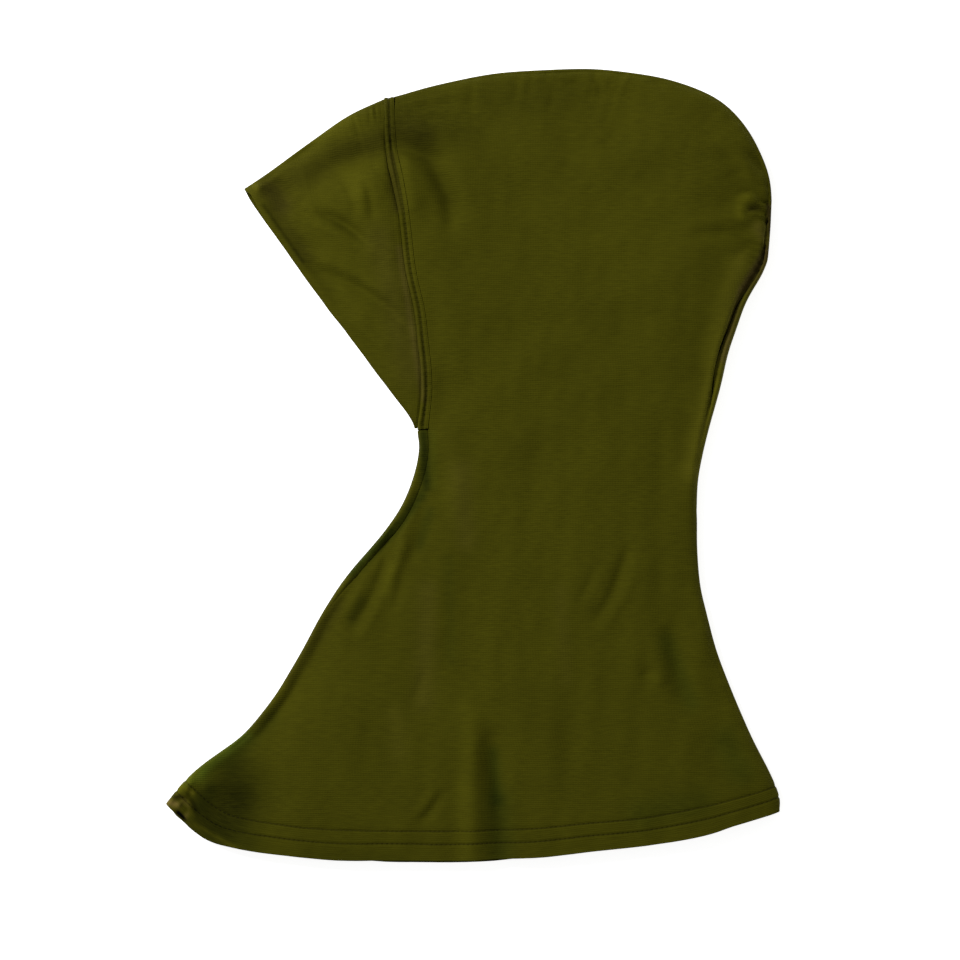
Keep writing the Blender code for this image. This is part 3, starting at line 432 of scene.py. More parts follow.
def lengths_along(line):
    return np.concatenate([[0.0], np.cumsum(np.linalg.norm(np.diff(line, axis=0), axis=1))])


def length_of(line):
    return lengths_along(line)[-1]


def at_lengths(line, lengths):
    """Points of the line at these distances along it."""
    run = lengths_along(line)
    return np.stack([np.interp(lengths, run, line[:, k]) for k in range(line.shape[1])], axis=-1)


def at_shares(line, shares):
    return at_lengths(line, np.asarray(shares) * length_of(line))


def stretch(line, start, end):
    """The part of a line between these distances along it."""
    return at_lengths(line, np.linspace(start, end, 6 * LINE_STEPS))


def sideways(line):
    """Unit vectors to the right of the line's direction at each of its points."""
    along = np.gradient(line, axis=0)
    along /= np.linalg.norm(along, axis=1)[:, None]
    return np.stack([along[:, 1], -along[:, 0]], axis=1)


def bent_edge(bends, start, end, across_from, across_to):
    """A smooth line from a table of bends, whose height runs from start to end."""
    ups = [start[1] + row.up * (end[1] - start[1]) for row in bends]
    acrosses = [across_from + row.across * (across_to - across_from) for row in bends]
    return smooth_line(list(zip(acrosses, ups)))


def eased(share):
    share = np.clip(share, 0, 1)
    return share * share * (3 - 2 * share)


def rounded(share):
    """A quarter circle's rise, from 0 at its upright end to 1 at its level end."""
    return np.sqrt(1 - (1 - np.clip(share, 0, 1)) ** 2)


def bump(distance, reach):
    return np.exp(-((distance / reach) ** 2))


def ripple(along, pitch, seed):
    """A smooth uneven wave along a line, between about -1 and 1."""
    random = np.random.default_rng(seed)
    total = 0.0
    for share in (0.62, 0.85, 1.0, 1.27, 1.63):
        total = total + np.cos(2 * math.pi * along / (pitch * share) + random.uniform(0, 2 * math.pi))
    return total / 2.4


def rumple(points, waves):
    """Smooth uneven relief over the plan, between about -1 and 1."""
    random = np.random.default_rng(waves.seed)
    total = np.zeros(len(points))
    for _ in range(RUMPLE_WAVES):
        angle = random.uniform(0, 2 * math.pi)
        pitch = random.uniform(0.7, 1.6)
        wave = np.array([math.cos(angle) / waves.across, math.sin(angle) / waves.up]) / pitch
        total += np.cos(2 * math.pi * (points @ wave) + random.uniform(0, 2 * math.pi))
    return total / RUMPLE_SPREAD


def swells_at(swells, aside):
    """Sum of a seam's ridges and channels at these distances behind its line."""
    return sum(swell.rise * bump(aside - swell.place, swell.reach) for swell in swells)


# Corners of the outline
hem_front = np.array([0.0, HEM_FRONT_RISE])
hem_back = np.array([HEM_WIDTH, HEM_BACK_RISE])
nape = np.array([HEM_WIDTH - NAPE_INSET, NAPE_HEIGHT])
chin = np.array([nape[0] - NECK_WIDTH, CHIN_HEIGHT])
head_back = np.array([chin[0] + HEAD_WIDTH, HEAD_BACK_HEIGHT])
crown_top = np.array([head_back[0] - CROWN_REACH, CAP_LENGTH])
seam_top = np.array([chin[0] - SEAM_LEAN, SEAM_TOP_HEIGHT])
brow_tip = np.array([seam_top[0] - BROW_REACH, BROW_TIP_HEIGHT])


def crown_line():
    """From the top of the brow seam over the crown to the back of the head."""
    ahead = np.linspace(1, 0, 3 * LINE_STEPS)[:-1]
    front_x = crown_top[0] + (seam_top[0] - crown_top[0]) * ahead
    front_y = CAP_LENGTH - (CAP_LENGTH - SEAM_TOP_HEIGHT) * ahead**CROWN_FRONT_POWER
    turn = np.linspace(math.pi / 2, 0, 5 * LINE_STEPS)
    back_x = crown_top[0] + CROWN_REACH * np.abs(np.cos(turn)) ** (2 / CROWN_BACK_POWER)
    back_y = HEAD_BACK_HEIGHT + (CAP_LENGTH - HEAD_BACK_HEIGHT) * np.sin(turn) ** (2 / CROWN_BACK_POWER)
    return np.stack([np.append(front_x, back_x), np.append(front_y, back_y)], axis=1)


def brow_fold_line():
    """From the brow tip to the top of the brow seam."""
    t = np.linspace(1, 0, 2 * LINE_STEPS)
    drop = (1 - BROW_FOLD_BOW) * t + BROW_FOLD_BOW * t**2
    return np.stack([seam_top[0] - BROW_REACH * t, seam_top[1] + (brow_tip[1] - seam_top[1]) * drop], axis=1)


def face_edge_line():
    """From the chin to the brow tip, bowed a little towards the face."""
    t = np.linspace(0, 1, 2 * LINE_STEPS)[:, None]
    straight_edge = chin + (brow_tip - chin) * t
    bow = FACE_EDGE_BOW * np.linalg.norm(brow_tip - chin) * np.sin(math.pi * np.sqrt(1 - t))
    return straight_edge - sideways(straight_edge) * bow


def brow_seam_line():
    """The seam's front line, from the chin to the crown."""
    run = seam_top - chin
    back = np.array([run[1], -run[0]])
    return smooth_line([chin + run * row.up + back * row.back for row in BROW_SEAM])


front_edge = bent_edge(FRONT_EDGE, hem_front, chin, hem_front[0], chin[0])
back_low = bent_edge(BACK_EDGE_LOW, hem_back, nape, nape[0], hem_back[0])
back_high = bent_edge(BACK_EDGE_HIGH, nape, head_back, nape[0], head_back[0])
back_edge = np.vstack([back_low, back_high[1:]])[::-1]
crown = crown_line()
brow_fold = brow_fold_line()
face_edge = face_edge_line()
seam_front = brow_seam_line()
back_above = back_edge[back_edge[:, 1] >= CHIN_HEIGHT]
back_below = back_edge[back_edge[:, 1] <= back_above[-1, 1]]
NECK_SHARE = length_of(back_above) / length_of(back_edge)
back_outline = np.vstack([brow_fold, crown[1:], back_edge[1:]])


def seam_line(offset):
    """A line this far behind the brow seam's front line, which ends on the crown's outline."""
    line = seam_front + sideways(seam_front) * offset
    near = crown[crown[:, 0] < crown_top[0]]
    head = np.array([line[-1, 0], np.interp(line[-1, 0], near[:, 0], near[:, 1])])
    share = (lengths_along(line) / length_of(line))[:, None]
    return line + (head - line[-1]) * share**8


def nearest_on(line, points):
    """Distance from each point to a line, and how far along the line its nearest place is."""
    runs = np.diff(line, axis=0)
    sizes = np.maximum((runs**2).sum(axis=1), 1e-18)
    starts = lengths_along(line)[:-1]
    gaps, places = [], []
    for first in range(0, len(points), CHUNK):
        ahead = points[first : first + CHUNK, None, :] - line[None, :-1]
        share = np.clip((ahead * runs).sum(axis=2) / sizes, 0, 1)
        gap = np.linalg.norm(ahead - share[..., None] * runs, axis=2)
        best = gap.argmin(axis=1)
        rows = np.arange(len(best))
        gaps.append(gap[rows, best])
        places.append(starts[best] + share[rows, best] * np.sqrt(sizes[best]))
    return np.concatenate(gaps), np.concatenate(places)


def fold_relief(points):
    """Rise of the folds at these points of the plan."""
    rise = np.zeros(len(points))
    for fold in FOLDS:
        start = np.array([fold.across0 * HEM_WIDTH, fold.up0 * CAP_LENGTH])
        run = np.array([fold.across1 * HEM_WIDTH, fold.up1 * CAP_LENGTH]) - start
        ahead = (points - start) @ run / (run @ run)
        share = np.clip(ahead, 0, 1)
        centre = start + share[:, None] * run
        centre += np.array([-run[1], run[0]]) * (4 * fold.bow * share * (1 - share))[:, None]
        aside = np.linalg.norm(points - centre, axis=1)
        taper = FOLD_END + (1 - FOLD_END) * np.sin(math.pi * share) ** 0.7
        rise += fold.rise * MM * taper * bump(aside, fold.width * MM)
    return rise


def painted_shade_marks(points):
    """How much painted shade (below 0, painted highlight) and how much warmer the cloth is at these points of
    the plan.
    """
    darker, warmer = np.zeros(len(points)), np.zeros(len(points))
    for mark in PAINTED_SHADES:
        start = np.array([mark.across0 * HEM_WIDTH, mark.up0 * CAP_LENGTH])
        run = np.array([mark.across1 * HEM_WIDTH, mark.up1 * CAP_LENGTH]) - start
        share = np.clip((points - start) @ run / (run @ run), 0, 1)
        near = bump(np.linalg.norm(points - start - share[:, None] * run, axis=1), mark.reach * MM)
        darker += mark.darker * near
        warmer += mark.warmer * near
    return darker, warmer


def keep_painted_shades(mesh):
    """Keep the painted shade, painted highlights and warmth of the cloth on a mesh that lies at its place in
    the frame, for its finish to read.
    """
    place = np.empty(3 * len(mesh.vertices))
    mesh.vertices.foreach_get("co", place)
    plan = place.reshape(-1, 3)[:, :2] - np.array([solid_low.x, solid_low.y])
    for key, values in zip(("darker", "warmer"), painted_shade_marks(plan)):
        mesh.attributes.new(key, "FLOAT", "POINT").data.foreach_set("value", values.astype(np.float32))


def pucker_relief(puckers, line, inset, along):
    """Rise of the small gathers that run in from an outline."""
    share = along / length_of(line)
    rise = np.zeros(len(inset))
    for number, row in enumerate(puckers):
        ends = (row.end - row.start) * PUCKER_FADE
        strength = eased((share - row.start) / ends) * eased((row.end - share) / ends)
        wave = ripple(along + 0.25 * inset, row.pitch * MM, number + 3)
        rise += row.rise * MM * strength * wave * np.exp(-inset / (row.reach * MM))
    return rise


def wandered(points):
    """The points moved a little over the floor, because hand-laid cloth has no dead straight edge."""
    moved = points.copy()
    plan = points[..., :2].reshape(-1, 2)
    for nudge in NUDGES:
        centre = np.array([nudge.across * HEM_WIDTH, nudge.up * CAP_LENGTH])
        near = bump(np.linalg.norm(points[..., :2] - centre, axis=-1), nudge.reach * MM)
        moved[..., :2] += near[..., None] * np.array([nudge.back, nudge.rise]) * MM
    for axis, waves in enumerate((SHIFT_BACK, SHIFT_UP)):
        moved[..., axis] += waves.rise * rumple(plan, waves).reshape(points.shape[:-1])
    return moved


def edge_valley(valleys, line, inset, along):
    """How upright an outline stands beside these points, and how deep its valley is there."""
    share = along / length_of(line)
    where = [row.along for row in valleys]
    stand, dip, place, inner = [
        np.interp(share, where, [getattr(row, key) for row in valleys])
        for key in ("stand", "dip", "place", "inner")
    ]
    aside = inset - place * MM
    outer = eased(1 + aside / (VALLEY_SLOPE * MM * place))
    beyond = np.exp(-((np.maximum(aside, 0) / (inner * MM)) ** 1.5))
    return stand, dip * MM * np.where(aside < 0, outer, beyond)


def relief_and_inset(points):
    """The upper layer's small relief, its distance in from the outline, and how the edge stands and dips."""
    front_gap, front_along = nearest_on(front_edge, points)
    back_gap, back_along = nearest_on(back_outline, points)
    inset = np.minimum(front_gap, back_gap)
    relief = fold_relief(points)
    relief += pucker_relief(FRONT_PUCKERS, front_edge, front_gap, front_along)
    relief += pucker_relief(BACK_PUCKERS, back_outline, back_gap, back_along)
    low = eased((CHIN_HEIGHT - points[:, 1]) / LOW_FADE)
    relief += BIB_RUMPLE.rise * low * rumple(points, BIB_RUMPLE)
    relief += HEAD_RUMPLE.rise * (1 - low) * rumple(points, HEAD_RUMPLE)
    relief += FINE_RUMPLE.rise * rumple(points, FINE_RUMPLE)
    below_chin = np.clip(1 - (points[:, 1] - CHIN_HEIGHT) / CHIN_FADE, 0, 1)
    front_stand, front_dip = edge_valley(FRONT_VALLEYS, front_edge, front_gap, front_along)
    back_stand, back_dip = edge_valley(BACK_VALLEYS, back_outline, back_gap, back_along)
    stand = np.where(front_gap < back_gap, front_stand * below_chin, back_stand)
    return relief, inset, stand, front_dip * below_chin + back_dip


def upper_height(points, relief, inset, stand, dip):
    """Height of the upper layer's outer face at these points, which lie this far inside the outline."""
    loft = np.interp(points[:, 1] / CAP_LENGTH, [row.up for row in LOFTS], [row.height for row in LOFTS])
    dome = DOME_SHARE * (loft - EDGE_HEIGHT - EDGE_RISE) * (1 - (1 - np.clip(inset / DOME_REACH, 0, 1)) ** 2)
    ahead = eased((chin[0] - points[:, 0]) / (SEAM_LEAN + BROW_REACH)) * (points[:, 1] > chin[1])
    rim = EDGE_RISE * (rounded(inset / EDGE_TUCK) * (1 - stand) + rounded(inset / ROLLED_TUCK) * stand)
    return EDGE_HEIGHT + rim - dip + dome * (1 - BROW_SINK * ahead) + relief * eased(inset / FOLD_CLEAR)


def under_height(inset):
    """Height of the underside's outer face, which is flat on the floor inside the tuck."""
    return EDGE_HEIGHT * (1 - rounded(inset / EDGE_TUCK))


def raised(plan, upper):
    """Points of the cap's outer face over this plan, where upper says which lie on the upper layer."""
    flat = plan.reshape(-1, 2)
    relief, inset, stand, dip = relief_and_inset(flat)
    over = upper_height(flat, relief, inset, stand, dip)
    height = np.where(upper.reshape(-1), over, under_height(inset))
    return np.concatenate([flat, height[:, None]], axis=1).reshape(*plan.shape[:-1], 3)


def grid_normals(grid, upper):
    """Normals of a grid of points, pointing out of the cap."""
    down, across = np.gradient(grid, axis=0), np.gradient(grid, axis=1)
    normals = np.cross(across, down)
    size = np.maximum(np.linalg.norm(normals, axis=2), 1e-12)
    normals /= size[..., None]
    level = upper & (np.abs(normals[..., 2]) > 0.5)
    return normals * np.sign(normals[level][:, 2].sum())


def on_to(start, end, count):
    """Evenly spaced places after start, up to and with end."""
    return start + (end - start) * np.arange(1, count + 1) / count


def turn_steps():
    return EDGE_TUCK * (1 - np.cos(np.linspace(0, math.pi / 2, TURN_COLUMNS + 1)))[1:]


def rolls_at(rolls, share):
    """Roll and groove of the centre seam at this share of an outline."""
    where = [row.along for row in rolls]
    return [np.interp(share, where, [getattr(row, key) for row in rolls]) for key in ("roll", "groove")]


def hem_sag(across):
    """Drop of the hem line below the straight line between its corners, front to back."""
    table = smooth_line(HEM_LINE)
    chord = HEM_FRONT_RISE + (HEM_BACK_RISE - HEM_FRONT_RISE) * across
    return HEM_TENSION * chord * np.interp(across, table[:, 0], table[:, 1])


def body_rows(share):
    """The front and back halves of a row across the body, this share of the way from the hem to the chin."""
    front, back = at_shares(front_edge, share), at_shares(back_below[::-1], share)
    across = np.linspace(0, 1, ACROSS_STEPS + 1)
    line = front + (back - front) * across[:, None]
    line[:, 1] -= (1 - share) ** 1.5 * hem_sag(across)
    middle = int(round(ROW_MIDDLE * ACROSS_STEPS))
    down = NECK_SHARE + (1 - NECK_SHARE) * (1 - share)
    return (
        Row(line[: middle + 1], *rolls_at(FRONT_ROLLS, share), True),
        Row(line[middle:][::-1], *rolls_at(BACK_ROLLS, down), True),
    )


def straight(start, end):
    return start + (end - start) * np.linspace(0, 1, 2 * LINE_STEPS)[:, None]


def hood_rows():
    """Rows round the hood from edge to middle, in order up the front, over the crown and down the back."""
    foot_share = (HEM_DEPTH + SEWN_GAP) / length_of(front_edge)
    lap_share = foot_share - LAP_REACH / length_of(front_edge)
    shares = np.concatenate([[lap_share], np.linspace(foot_share, 1, BODY_ROWS)])
    halves = [body_rows(share) for share in shares]
    neck_middle = halves[-1][0].line[-1]
    fan_middle = chin + np.array([HEAD_WIDTH * FAN_ACROSS, (CAP_LENGTH - CHIN_HEIGHT) * FAN_UP])
    middles = neck_middle + (fan_middle - neck_middle) * on_to(0, 1, SEAM_ROWS)[:, None]
    rear = seam_line(SEAM_WIDTH + SEWN_GAP)
    beside_seam = stretch(rear, SEAM_SLANT, length_of(rear))
    height = nearest_on(crown, chin[None])[0][0]
    seam_starts = at_shares(beside_seam, np.linspace(0, 1 - EDGE_TUCK / height, SEAM_ROWS))
    behind = np.vstack([rear[-1:], crown[crown[:, 0] > rear[-1, 0]]])
    fan_starts = at_shares(behind, np.arange(CROWN_ROWS) / CROWN_ROWS)
    back_ups = 1 - on_to(0, 1, SEAM_ROWS)
    back_starts = at_shares(back_above, back_ups)

    rows = [half[0] for half in halves]
    rows += [Row(straight(start, middle), 0.0, 0.0, False) for start, middle in zip(seam_starts, middles)]
    for k, start in enumerate(fan_starts):
        rows.append(Row(straight(start, fan_middle), *rolls_at(CROWN_ROLLS, k / CROWN_ROWS), True))
    for start, middle, up in zip(back_starts[::-1], middles[::-1], back_ups[::-1]):
        rows.append(Row(straight(start, middle), *rolls_at(BACK_ROLLS, NECK_SHARE * up), True))
    return rows + [half[1] for half in halves[::-1]]


def row_places(row):
    """Distances in from the outline of a row's columns, which columns are upper and which is the centre seam.

    The columns run from the row's middle on the upper layer round the edge to the underside.
    """
    length = length_of(row.line)
    beside = row.roll + NEAR_REACH * np.linspace(0, 1, NEAR_COLUMNS) ** 1.6
    above = np.concatenate([beside, on_to(beside[-1], length, UPPER_COLUMNS)])[::-1]
    wrap = row.roll * np.linspace(1, 0, WRAP_COLUMNS + 2)[1:-1]
    below = np.concatenate([[0.0], turn_steps(), on_to(EDGE_TUCK, length, UNDER_COLUMNS)])
    places = np.concatenate([above, wrap, below])
    upper = np.arange(len(places)) < len(above) + (len(wrap) if row.sewn else 0)
    return places, upper, len(above) - 1


def spread_flat(rows, grid):
    """Where each point of a grid lies in the flat panel: on its row, which runs on past the outline.

    The grid's columns run from the rows' middles outwards.
    """
    steps = np.linalg.norm(np.diff(grid, axis=1), axis=2)
    run = np.concatenate([np.zeros((len(grid), 1)), np.cumsum(steps, axis=1)], axis=1)
    flat = []
    for row, lengths in zip(rows, run):
        out = row.line[::-1]
        tail = out[-1] + (out[-1] - out[-3]) / np.linalg.norm(out[-1] - out[-3]) * WRAP_RUN
        flat.append(at_lengths(np.vstack([out, tail]), lengths))
    return np.array(flat)


def cloth_piece(name, grid, flat, thickness, finish, rim=SOFT_RIM):
    """A sheet over a grid of points, with a wall of its thickness and soft rims, at its own place."""
    rows, columns = grid.shape[:2]
    number = np.arange(rows * columns).reshape(rows, columns)
    corners = [number[:-1, :-1], number[1:, :-1], number[1:, 1:], number[:-1, 1:]]
    faces = np.stack([corner.reshape(-1) for corner in corners], axis=1)
    points = grid.reshape(-1, 3)
    first, second, third, fourth = [points[faces[:, corner]] for corner in range(4)]
    tilt = np.cross(third - first, fourth - second)
    high = first[:, 2] > EDGE_HEIGHT + EDGE_RISE * 0.8
    if tilt[high, 2].sum() + 0.001 * -tilt[~high, 2].sum() < 0:
        faces = faces[:, ::-1]
    mesh = bpy.data.meshes.new(name)
    moved = wandered(points) + np.array([solid_low.x, solid_low.y, 0.0])
    mesh.from_pydata(moved.tolist(), [], faces.tolist())
    layer = mesh.uv_layers.new(name="flat")
    layer.data.foreach_set("uv", flat.reshape(-1, 2)[faces.reshape(-1)].astype(np.float32).reshape(-1))
    work = bmesh.new()
    work.from_mesh(mesh)
    bmesh.ops.remove_doubles(work, verts=work.verts, dist=MERGE_REACH)
    bmesh.ops.dissolve_degenerate(work, edges=work.edges, dist=SLIVER)
    work.to_mesh(mesh)
    work.free()
    mesh.shade_smooth()
    mesh.materials.append(finish)
    piece = bpy.data.objects.new(name, mesh)
    bpy.context.scene.collection.objects.link(piece)
    wall = piece.modifiers.new("wall", "SOLIDIFY")
    wall.thickness = thickness
    wall.offset = -1
    edge = piece.modifiers.new("edge", "BEVEL")
    edge.width = rim
    edge.segments = 2
    edge.limit_method = "ANGLE"
    edge.angle_limit = math.radians(RIM_ANGLE)
    edge.use_clamp_overlap = True
    bpy.ops.object.select_all(action="DESELECT")
    piece.select_set(True)
    bpy.context.view_layer.objects.active = piece
    bpy.ops.object.modifier_apply(modifier="wall")
    bpy.ops.object.modifier_apply(modifier="edge")
    keep_painted_shades(mesh)
    return piece


def tuck_under(grid, normals, edge, inner):
    """Run a grid's edge on under its neighbour, away from the inner points and below the outer face there."""
    out = grid[edge] - grid[inner]
    out /= np.linalg.norm(out, axis=1)[:, None]
    up = normals[inner]
    grid[edge] = grid[inner] + out * np.linalg.norm(grid[edge] - grid[inner], axis=1)[:, None]
    grid[edge] += out * LAP_REACH - up * LAP_DEPTH


def make_sides(finish):
    """The two side panels, which meet at the centre seam over the crown, down the back and under the chin."""
    rows = hood_rows()
    places = [row_places(row) for row in rows]
    seam = places[0][2]
    plan = np.array([at_lengths(row.line, place[0]) for row, place in zip(rows, places)])
    upper = np.array([place[1] for place in places])
    grid = raised(plan, upper)
    sewn = np.array([row.sewn for row in rows])[:, None]
    beside = np.array([np.where(p[1], p[0], -p[0]) - row.roll for row, p in zip(rows, places)])
    groove = np.array([[row.groove] for row in rows])
    furrow = groove * swells_at(CENTRE_FURROW, beside) * sewn
    step = np.minimum(np.arange(len(rows)), np.arange(len(rows))[::-1]) - 1
    above_hem = step / (BODY_ROWS - 1) * (length_of(front_edge) - HEM_DEPTH)
    channel = JOIN_DEPTH * bump(above_hem, CHANNEL_REACH)[:, None] * np.ones_like(beside)
    from_edge = np.array([p[0] for p in places])
    ditch = HOOD_DITCH * bump(from_edge, HOOD_DITCH_REACH) * ~sewn
    left, right = grid[:, : seam + 1].copy(), grid[:, seam:].copy()
    right[:, 0] = np.where(sewn, right[:, 0], right[:, 1])
    sink = furrow + channel + ditch
    left_up = grid_normals(left, upper[:, : seam + 1])
    right_up = grid_normals(right, upper[:, seam:])
    left -= left_up * sink[:, : seam + 1, None]
    right -= right_up * (sink * sewn)[:, seam:, None]
    for side, edge, next_in in ((left, -1, -2), (right, 0, 1)):
        inward = side[:, next_in] - side[:, edge]
        size = np.maximum(np.linalg.norm(inward, axis=1), SEWN_GAP)[:, None]
        side[:, edge] += np.where(sewn, inward / size * SEWN_GAP / 2, 0.0)
    tuck_under(left, left_up, (~sewn[:, 0], -1), (~sewn[:, 0], -4))
    for column in range(WRAP_COLUMNS + 1):
        tuck_under(right, right_up, (~sewn[:, 0], column), (~sewn[:, 0], WRAP_COLUMNS + 4))
    for side, up in ((left, left_up), (right, right_up)):
        side[0] -= up[1] * LAP_DEPTH
        side[-1] -= up[-2] * LAP_DEPTH
    right[..., 2] = np.maximum(right[..., 2], 0.0)
    left_flat = spread_flat(rows, left)
    right_flat = spread_flat(rows, right[:, ::-1])[:, ::-1]
    return (
        cloth_piece("hood_left", left, left_flat, JERSEY, finish, SHARP_RIM),
        cloth_piece("hood_right", right, right_flat, JERSEY, finish, SHARP_RIM),
    )


def panel_plan(left, right, top, ups, acrosses):
    """Points between two edges that run up to a top edge, whose shape the rows take on towards it."""
    lefts, rights = at_shares(left, ups)[:, None], at_shares(right, ups)[:, None]
    across = np.asarray(acrosses)[None, :, None]
    bow = at_shares(top, acrosses) - (left[-1] + (right[-1] - left[-1]) * across[0])
    return lefts + (rights - lefts) * across + bow[None] * (ups**4)[:, None, None]


def folded_ups(height, rows):
    """Places up a panel of this height, over its top fold and down its under layer, and which are on top."""
    turn = turn_steps() / height
    above = np.concatenate([np.linspace(0, 1 - turn[-1], rows), 1 - turn[-2::-1]])
    ups = np.concatenate([above, [1.0], above[::-1]])
    return ups, np.arange(len(ups)) < len(above)


def folded_panel(left, right, top, rows, acrosses):
    """Outer face of a sheet folded over the top outline, its flat places, and which rows are on top."""
    ups, on_top = folded_ups(nearest_on(top, left[:1])[0][0], rows)
    plan = panel_plan(left, right, top, ups, acrosses)
    upper = np.repeat(on_top[:, None], len(acrosses), axis=1)
    grid = raised(plan, upper)
    steps = np.linalg.norm(np.diff(grid[..., 1:], axis=0), axis=2)
    run = np.concatenate([np.zeros((1, len(acrosses))), np.cumsum(steps, axis=0)], axis=0)
    return grid, np.stack([plan[..., 0], plan[0, :, 1] + run], axis=-1), upper


def make_brow_panel(finish):
    """The brow panel, folded over its top, with its face edge lowered and its rear edge under the seam."""
    left = stretch(face_edge, BROW_APEX, length_of(face_edge))
    beside = seam_front - sideways(seam_front) * SEWN_GAP
    right = stretch(beside, BROW_APEX, length_of(beside))
    top = stretch(brow_fold, 0, length_of(brow_fold) - SEWN_GAP)
    acrosses = np.linspace(0, 1, BROW_COLUMNS)
    grid, flat, upper = folded_panel(left, right, top, BROW_ROWS, acrosses)
    from_tip = np.linalg.norm(grid[:, :1, :2] - brow_tip, axis=2)
    back = PEEK * eased(from_tip / PEEK_START) * (1 - eased(from_tip / PEEK_END)) * upper[:, :1]
    into = grid[:, 1, :2] - grid[:, 0, :2]
    into /= np.linalg.norm(into, axis=1)[:, None]
    grid[..., :2] += into[:, None] * (back * (1 - acrosses[None]) ** 6)[..., None]
    from_face = nearest_on(face_edge, grid[..., :2].reshape(-1, 2))[0].reshape(upper.shape)
    droop = np.where(upper, BROW_DROOP * bump(from_face, BROW_DROOP_REACH), 0.0)
    grid[..., 2] -= droop
    from_seam = nearest_on(seam_front, grid[..., :2].reshape(-1, 2))[0].reshape(upper.shape)
    ditch = np.where(upper, BROW_DITCH * bump(from_seam, BROW_DITCH_REACH), 0.0)
    normals = grid_normals(grid, upper)
    grid -= normals * ditch[..., None]
    lap = grid[:, -1:].copy()
    out = grid[:, -1:] - grid[:, -3:-2]
    out /= np.linalg.norm(out, axis=2)[..., None]
    lap += out * (LAP_REACH + SEWN_GAP) - normals[:, -3:-2] * LAP_DEPTH
    grid = np.concatenate([grid, lap], axis=1)
    flat = np.concatenate([flat, flat[:, -1:] + np.array([LAP_DEPTH, 0.0])], axis=1)
    grid[..., 2] = np.maximum(grid[..., 2], 0.0)
    return cloth_piece("brow", grid, flat, BROW_CLOTH, finish, BROW_RIM)


def brow_seam_profile(aside):
    """Rise of the brow seam over its own level: a ridge at its front, a channel of stitches, a rear ridge."""
    return SEAM_PROUD * (1 - eased(aside / SEAM_WIDTH)) + swells_at(SEAM_SWELLS, aside)


def brow_seam_surface():
    """Outer face of the brow seam, folded over its top, its flat places, and which points are on top."""
    rear = seam_line(SEAM_WIDTH)
    left = stretch(seam_front, SEAM_FOOT, length_of(seam_front))
    right = stretch(rear, SEAM_FOOT + SEAM_SLANT, length_of(rear))
    top = np.vstack([seam_top, crown[(crown[:, 0] > seam_top[0]) & (crown[:, 0] < rear[-1, 0])], rear[-1]])
    acrosses = np.linspace(0, 1, SEAM_COLUMNS)
    grid, flat, upper = folded_panel(left, right, top, SEAM_LONG_ROWS, acrosses)
    flat[..., 0] = acrosses * SEAM_WIDTH
    along = flat[:, :1, 1]
    lift = brow_seam_profile(acrosses * SEAM_WIDTH)[None]
    lift = lift + SEAM_RIPPLE * ripple(along + 0.1 * acrosses * SEAM_WIDTH, SEAM_RIPPLE_PITCH, 31)
    height = rounded((grid[..., 2] - EDGE_HEIGHT) / EDGE_RISE) * upper
    grid += grid_normals(grid, upper) * (lift * height)[..., None]
    return grid, flat, upper


def hem_surface(shares):
    """Outer face of the hem, a loop round both layers, at these shares of the way to the chin.

    Also its flat places, and which of its points are on top.
    """
    plan, upper = [], []
    for share in shares:
        front, back = body_rows(share)
        (front_places, front_upper, _), (back_places, back_upper, _) = row_places(front), row_places(back)
        loop = np.vstack([at_lengths(front.line, front_places), at_lengths(back.line, back_places)[-2::-1]])
        plan.append(loop)
        upper.append(np.concatenate([front_upper, back_upper[-2::-1]]))
    upper = np.array(upper)
    grid = raised(np.array(plan), upper)
    middle = len(shares) // 2
    around = lengths_along(grid[middle])
    height = np.asarray(shares) * length_of(front_edge)
    flat = np.stack(np.meshgrid(around, height), axis=-1)
    rows = sum(bump(flat[..., 1] - row, CHANNEL_REACH) for row in (HEM_TOP_ROW, HEM_ROW_HEIGHT))
    creased = ripple(around, HEM_CREASE_PATCH, 42) > 0
    creases = ripple(around, HEM_CREASE_PITCH, 41) * (0.4 + 0.6 * creased)
    between = np.sin(math.pi * np.clip(flat[..., 1] / HEM_DEPTH, 0, 1))
    sink = CHANNEL_DEPTH * rows + HEM_CREASE * creases[None] * between * upper
    grid -= grid_normals(grid, upper) * sink[..., None]
    across = grid[..., 0] / HEM_WIDTH
    peep = eased((across - PEEP_FROM) / PEEP_FADE) * eased((PEEP_TO - across) / PEEP_FADE)
    grid[..., 1] -= PEEP * peep * (1 - eased(flat[..., 1] / HEM_DEPTH)) * ~upper
    grid[:, -1] = grid[:, 0]
    grid[..., 2] = np.maximum(grid[..., 2], 0.0)
    return grid, flat, upper


def hem_heights():
    """Heights of the hem's rows of points, closer together at its two rows of stitches."""
    even = np.linspace(0, 1, 400)
    nearness = 1
    for row in (HEM_ROW_HEIGHT, HEM_DEPTH):
        nearness = nearness + ROW_CLOSENESS * bump(even * HEM_DEPTH - row, ROW_CLOSE_REACH)
    reach = np.cumsum(nearness)
    return np.interp(np.linspace(reach[0], reach[-1], HEM_ROWS), reach, even) * HEM_DEPTH


def make_hem(finish):
    grid, flat, _ = hem_surface(hem_heights() / length_of(front_edge))
    return cloth_piece("hem", grid, flat, HEM_CLOTH, finish)


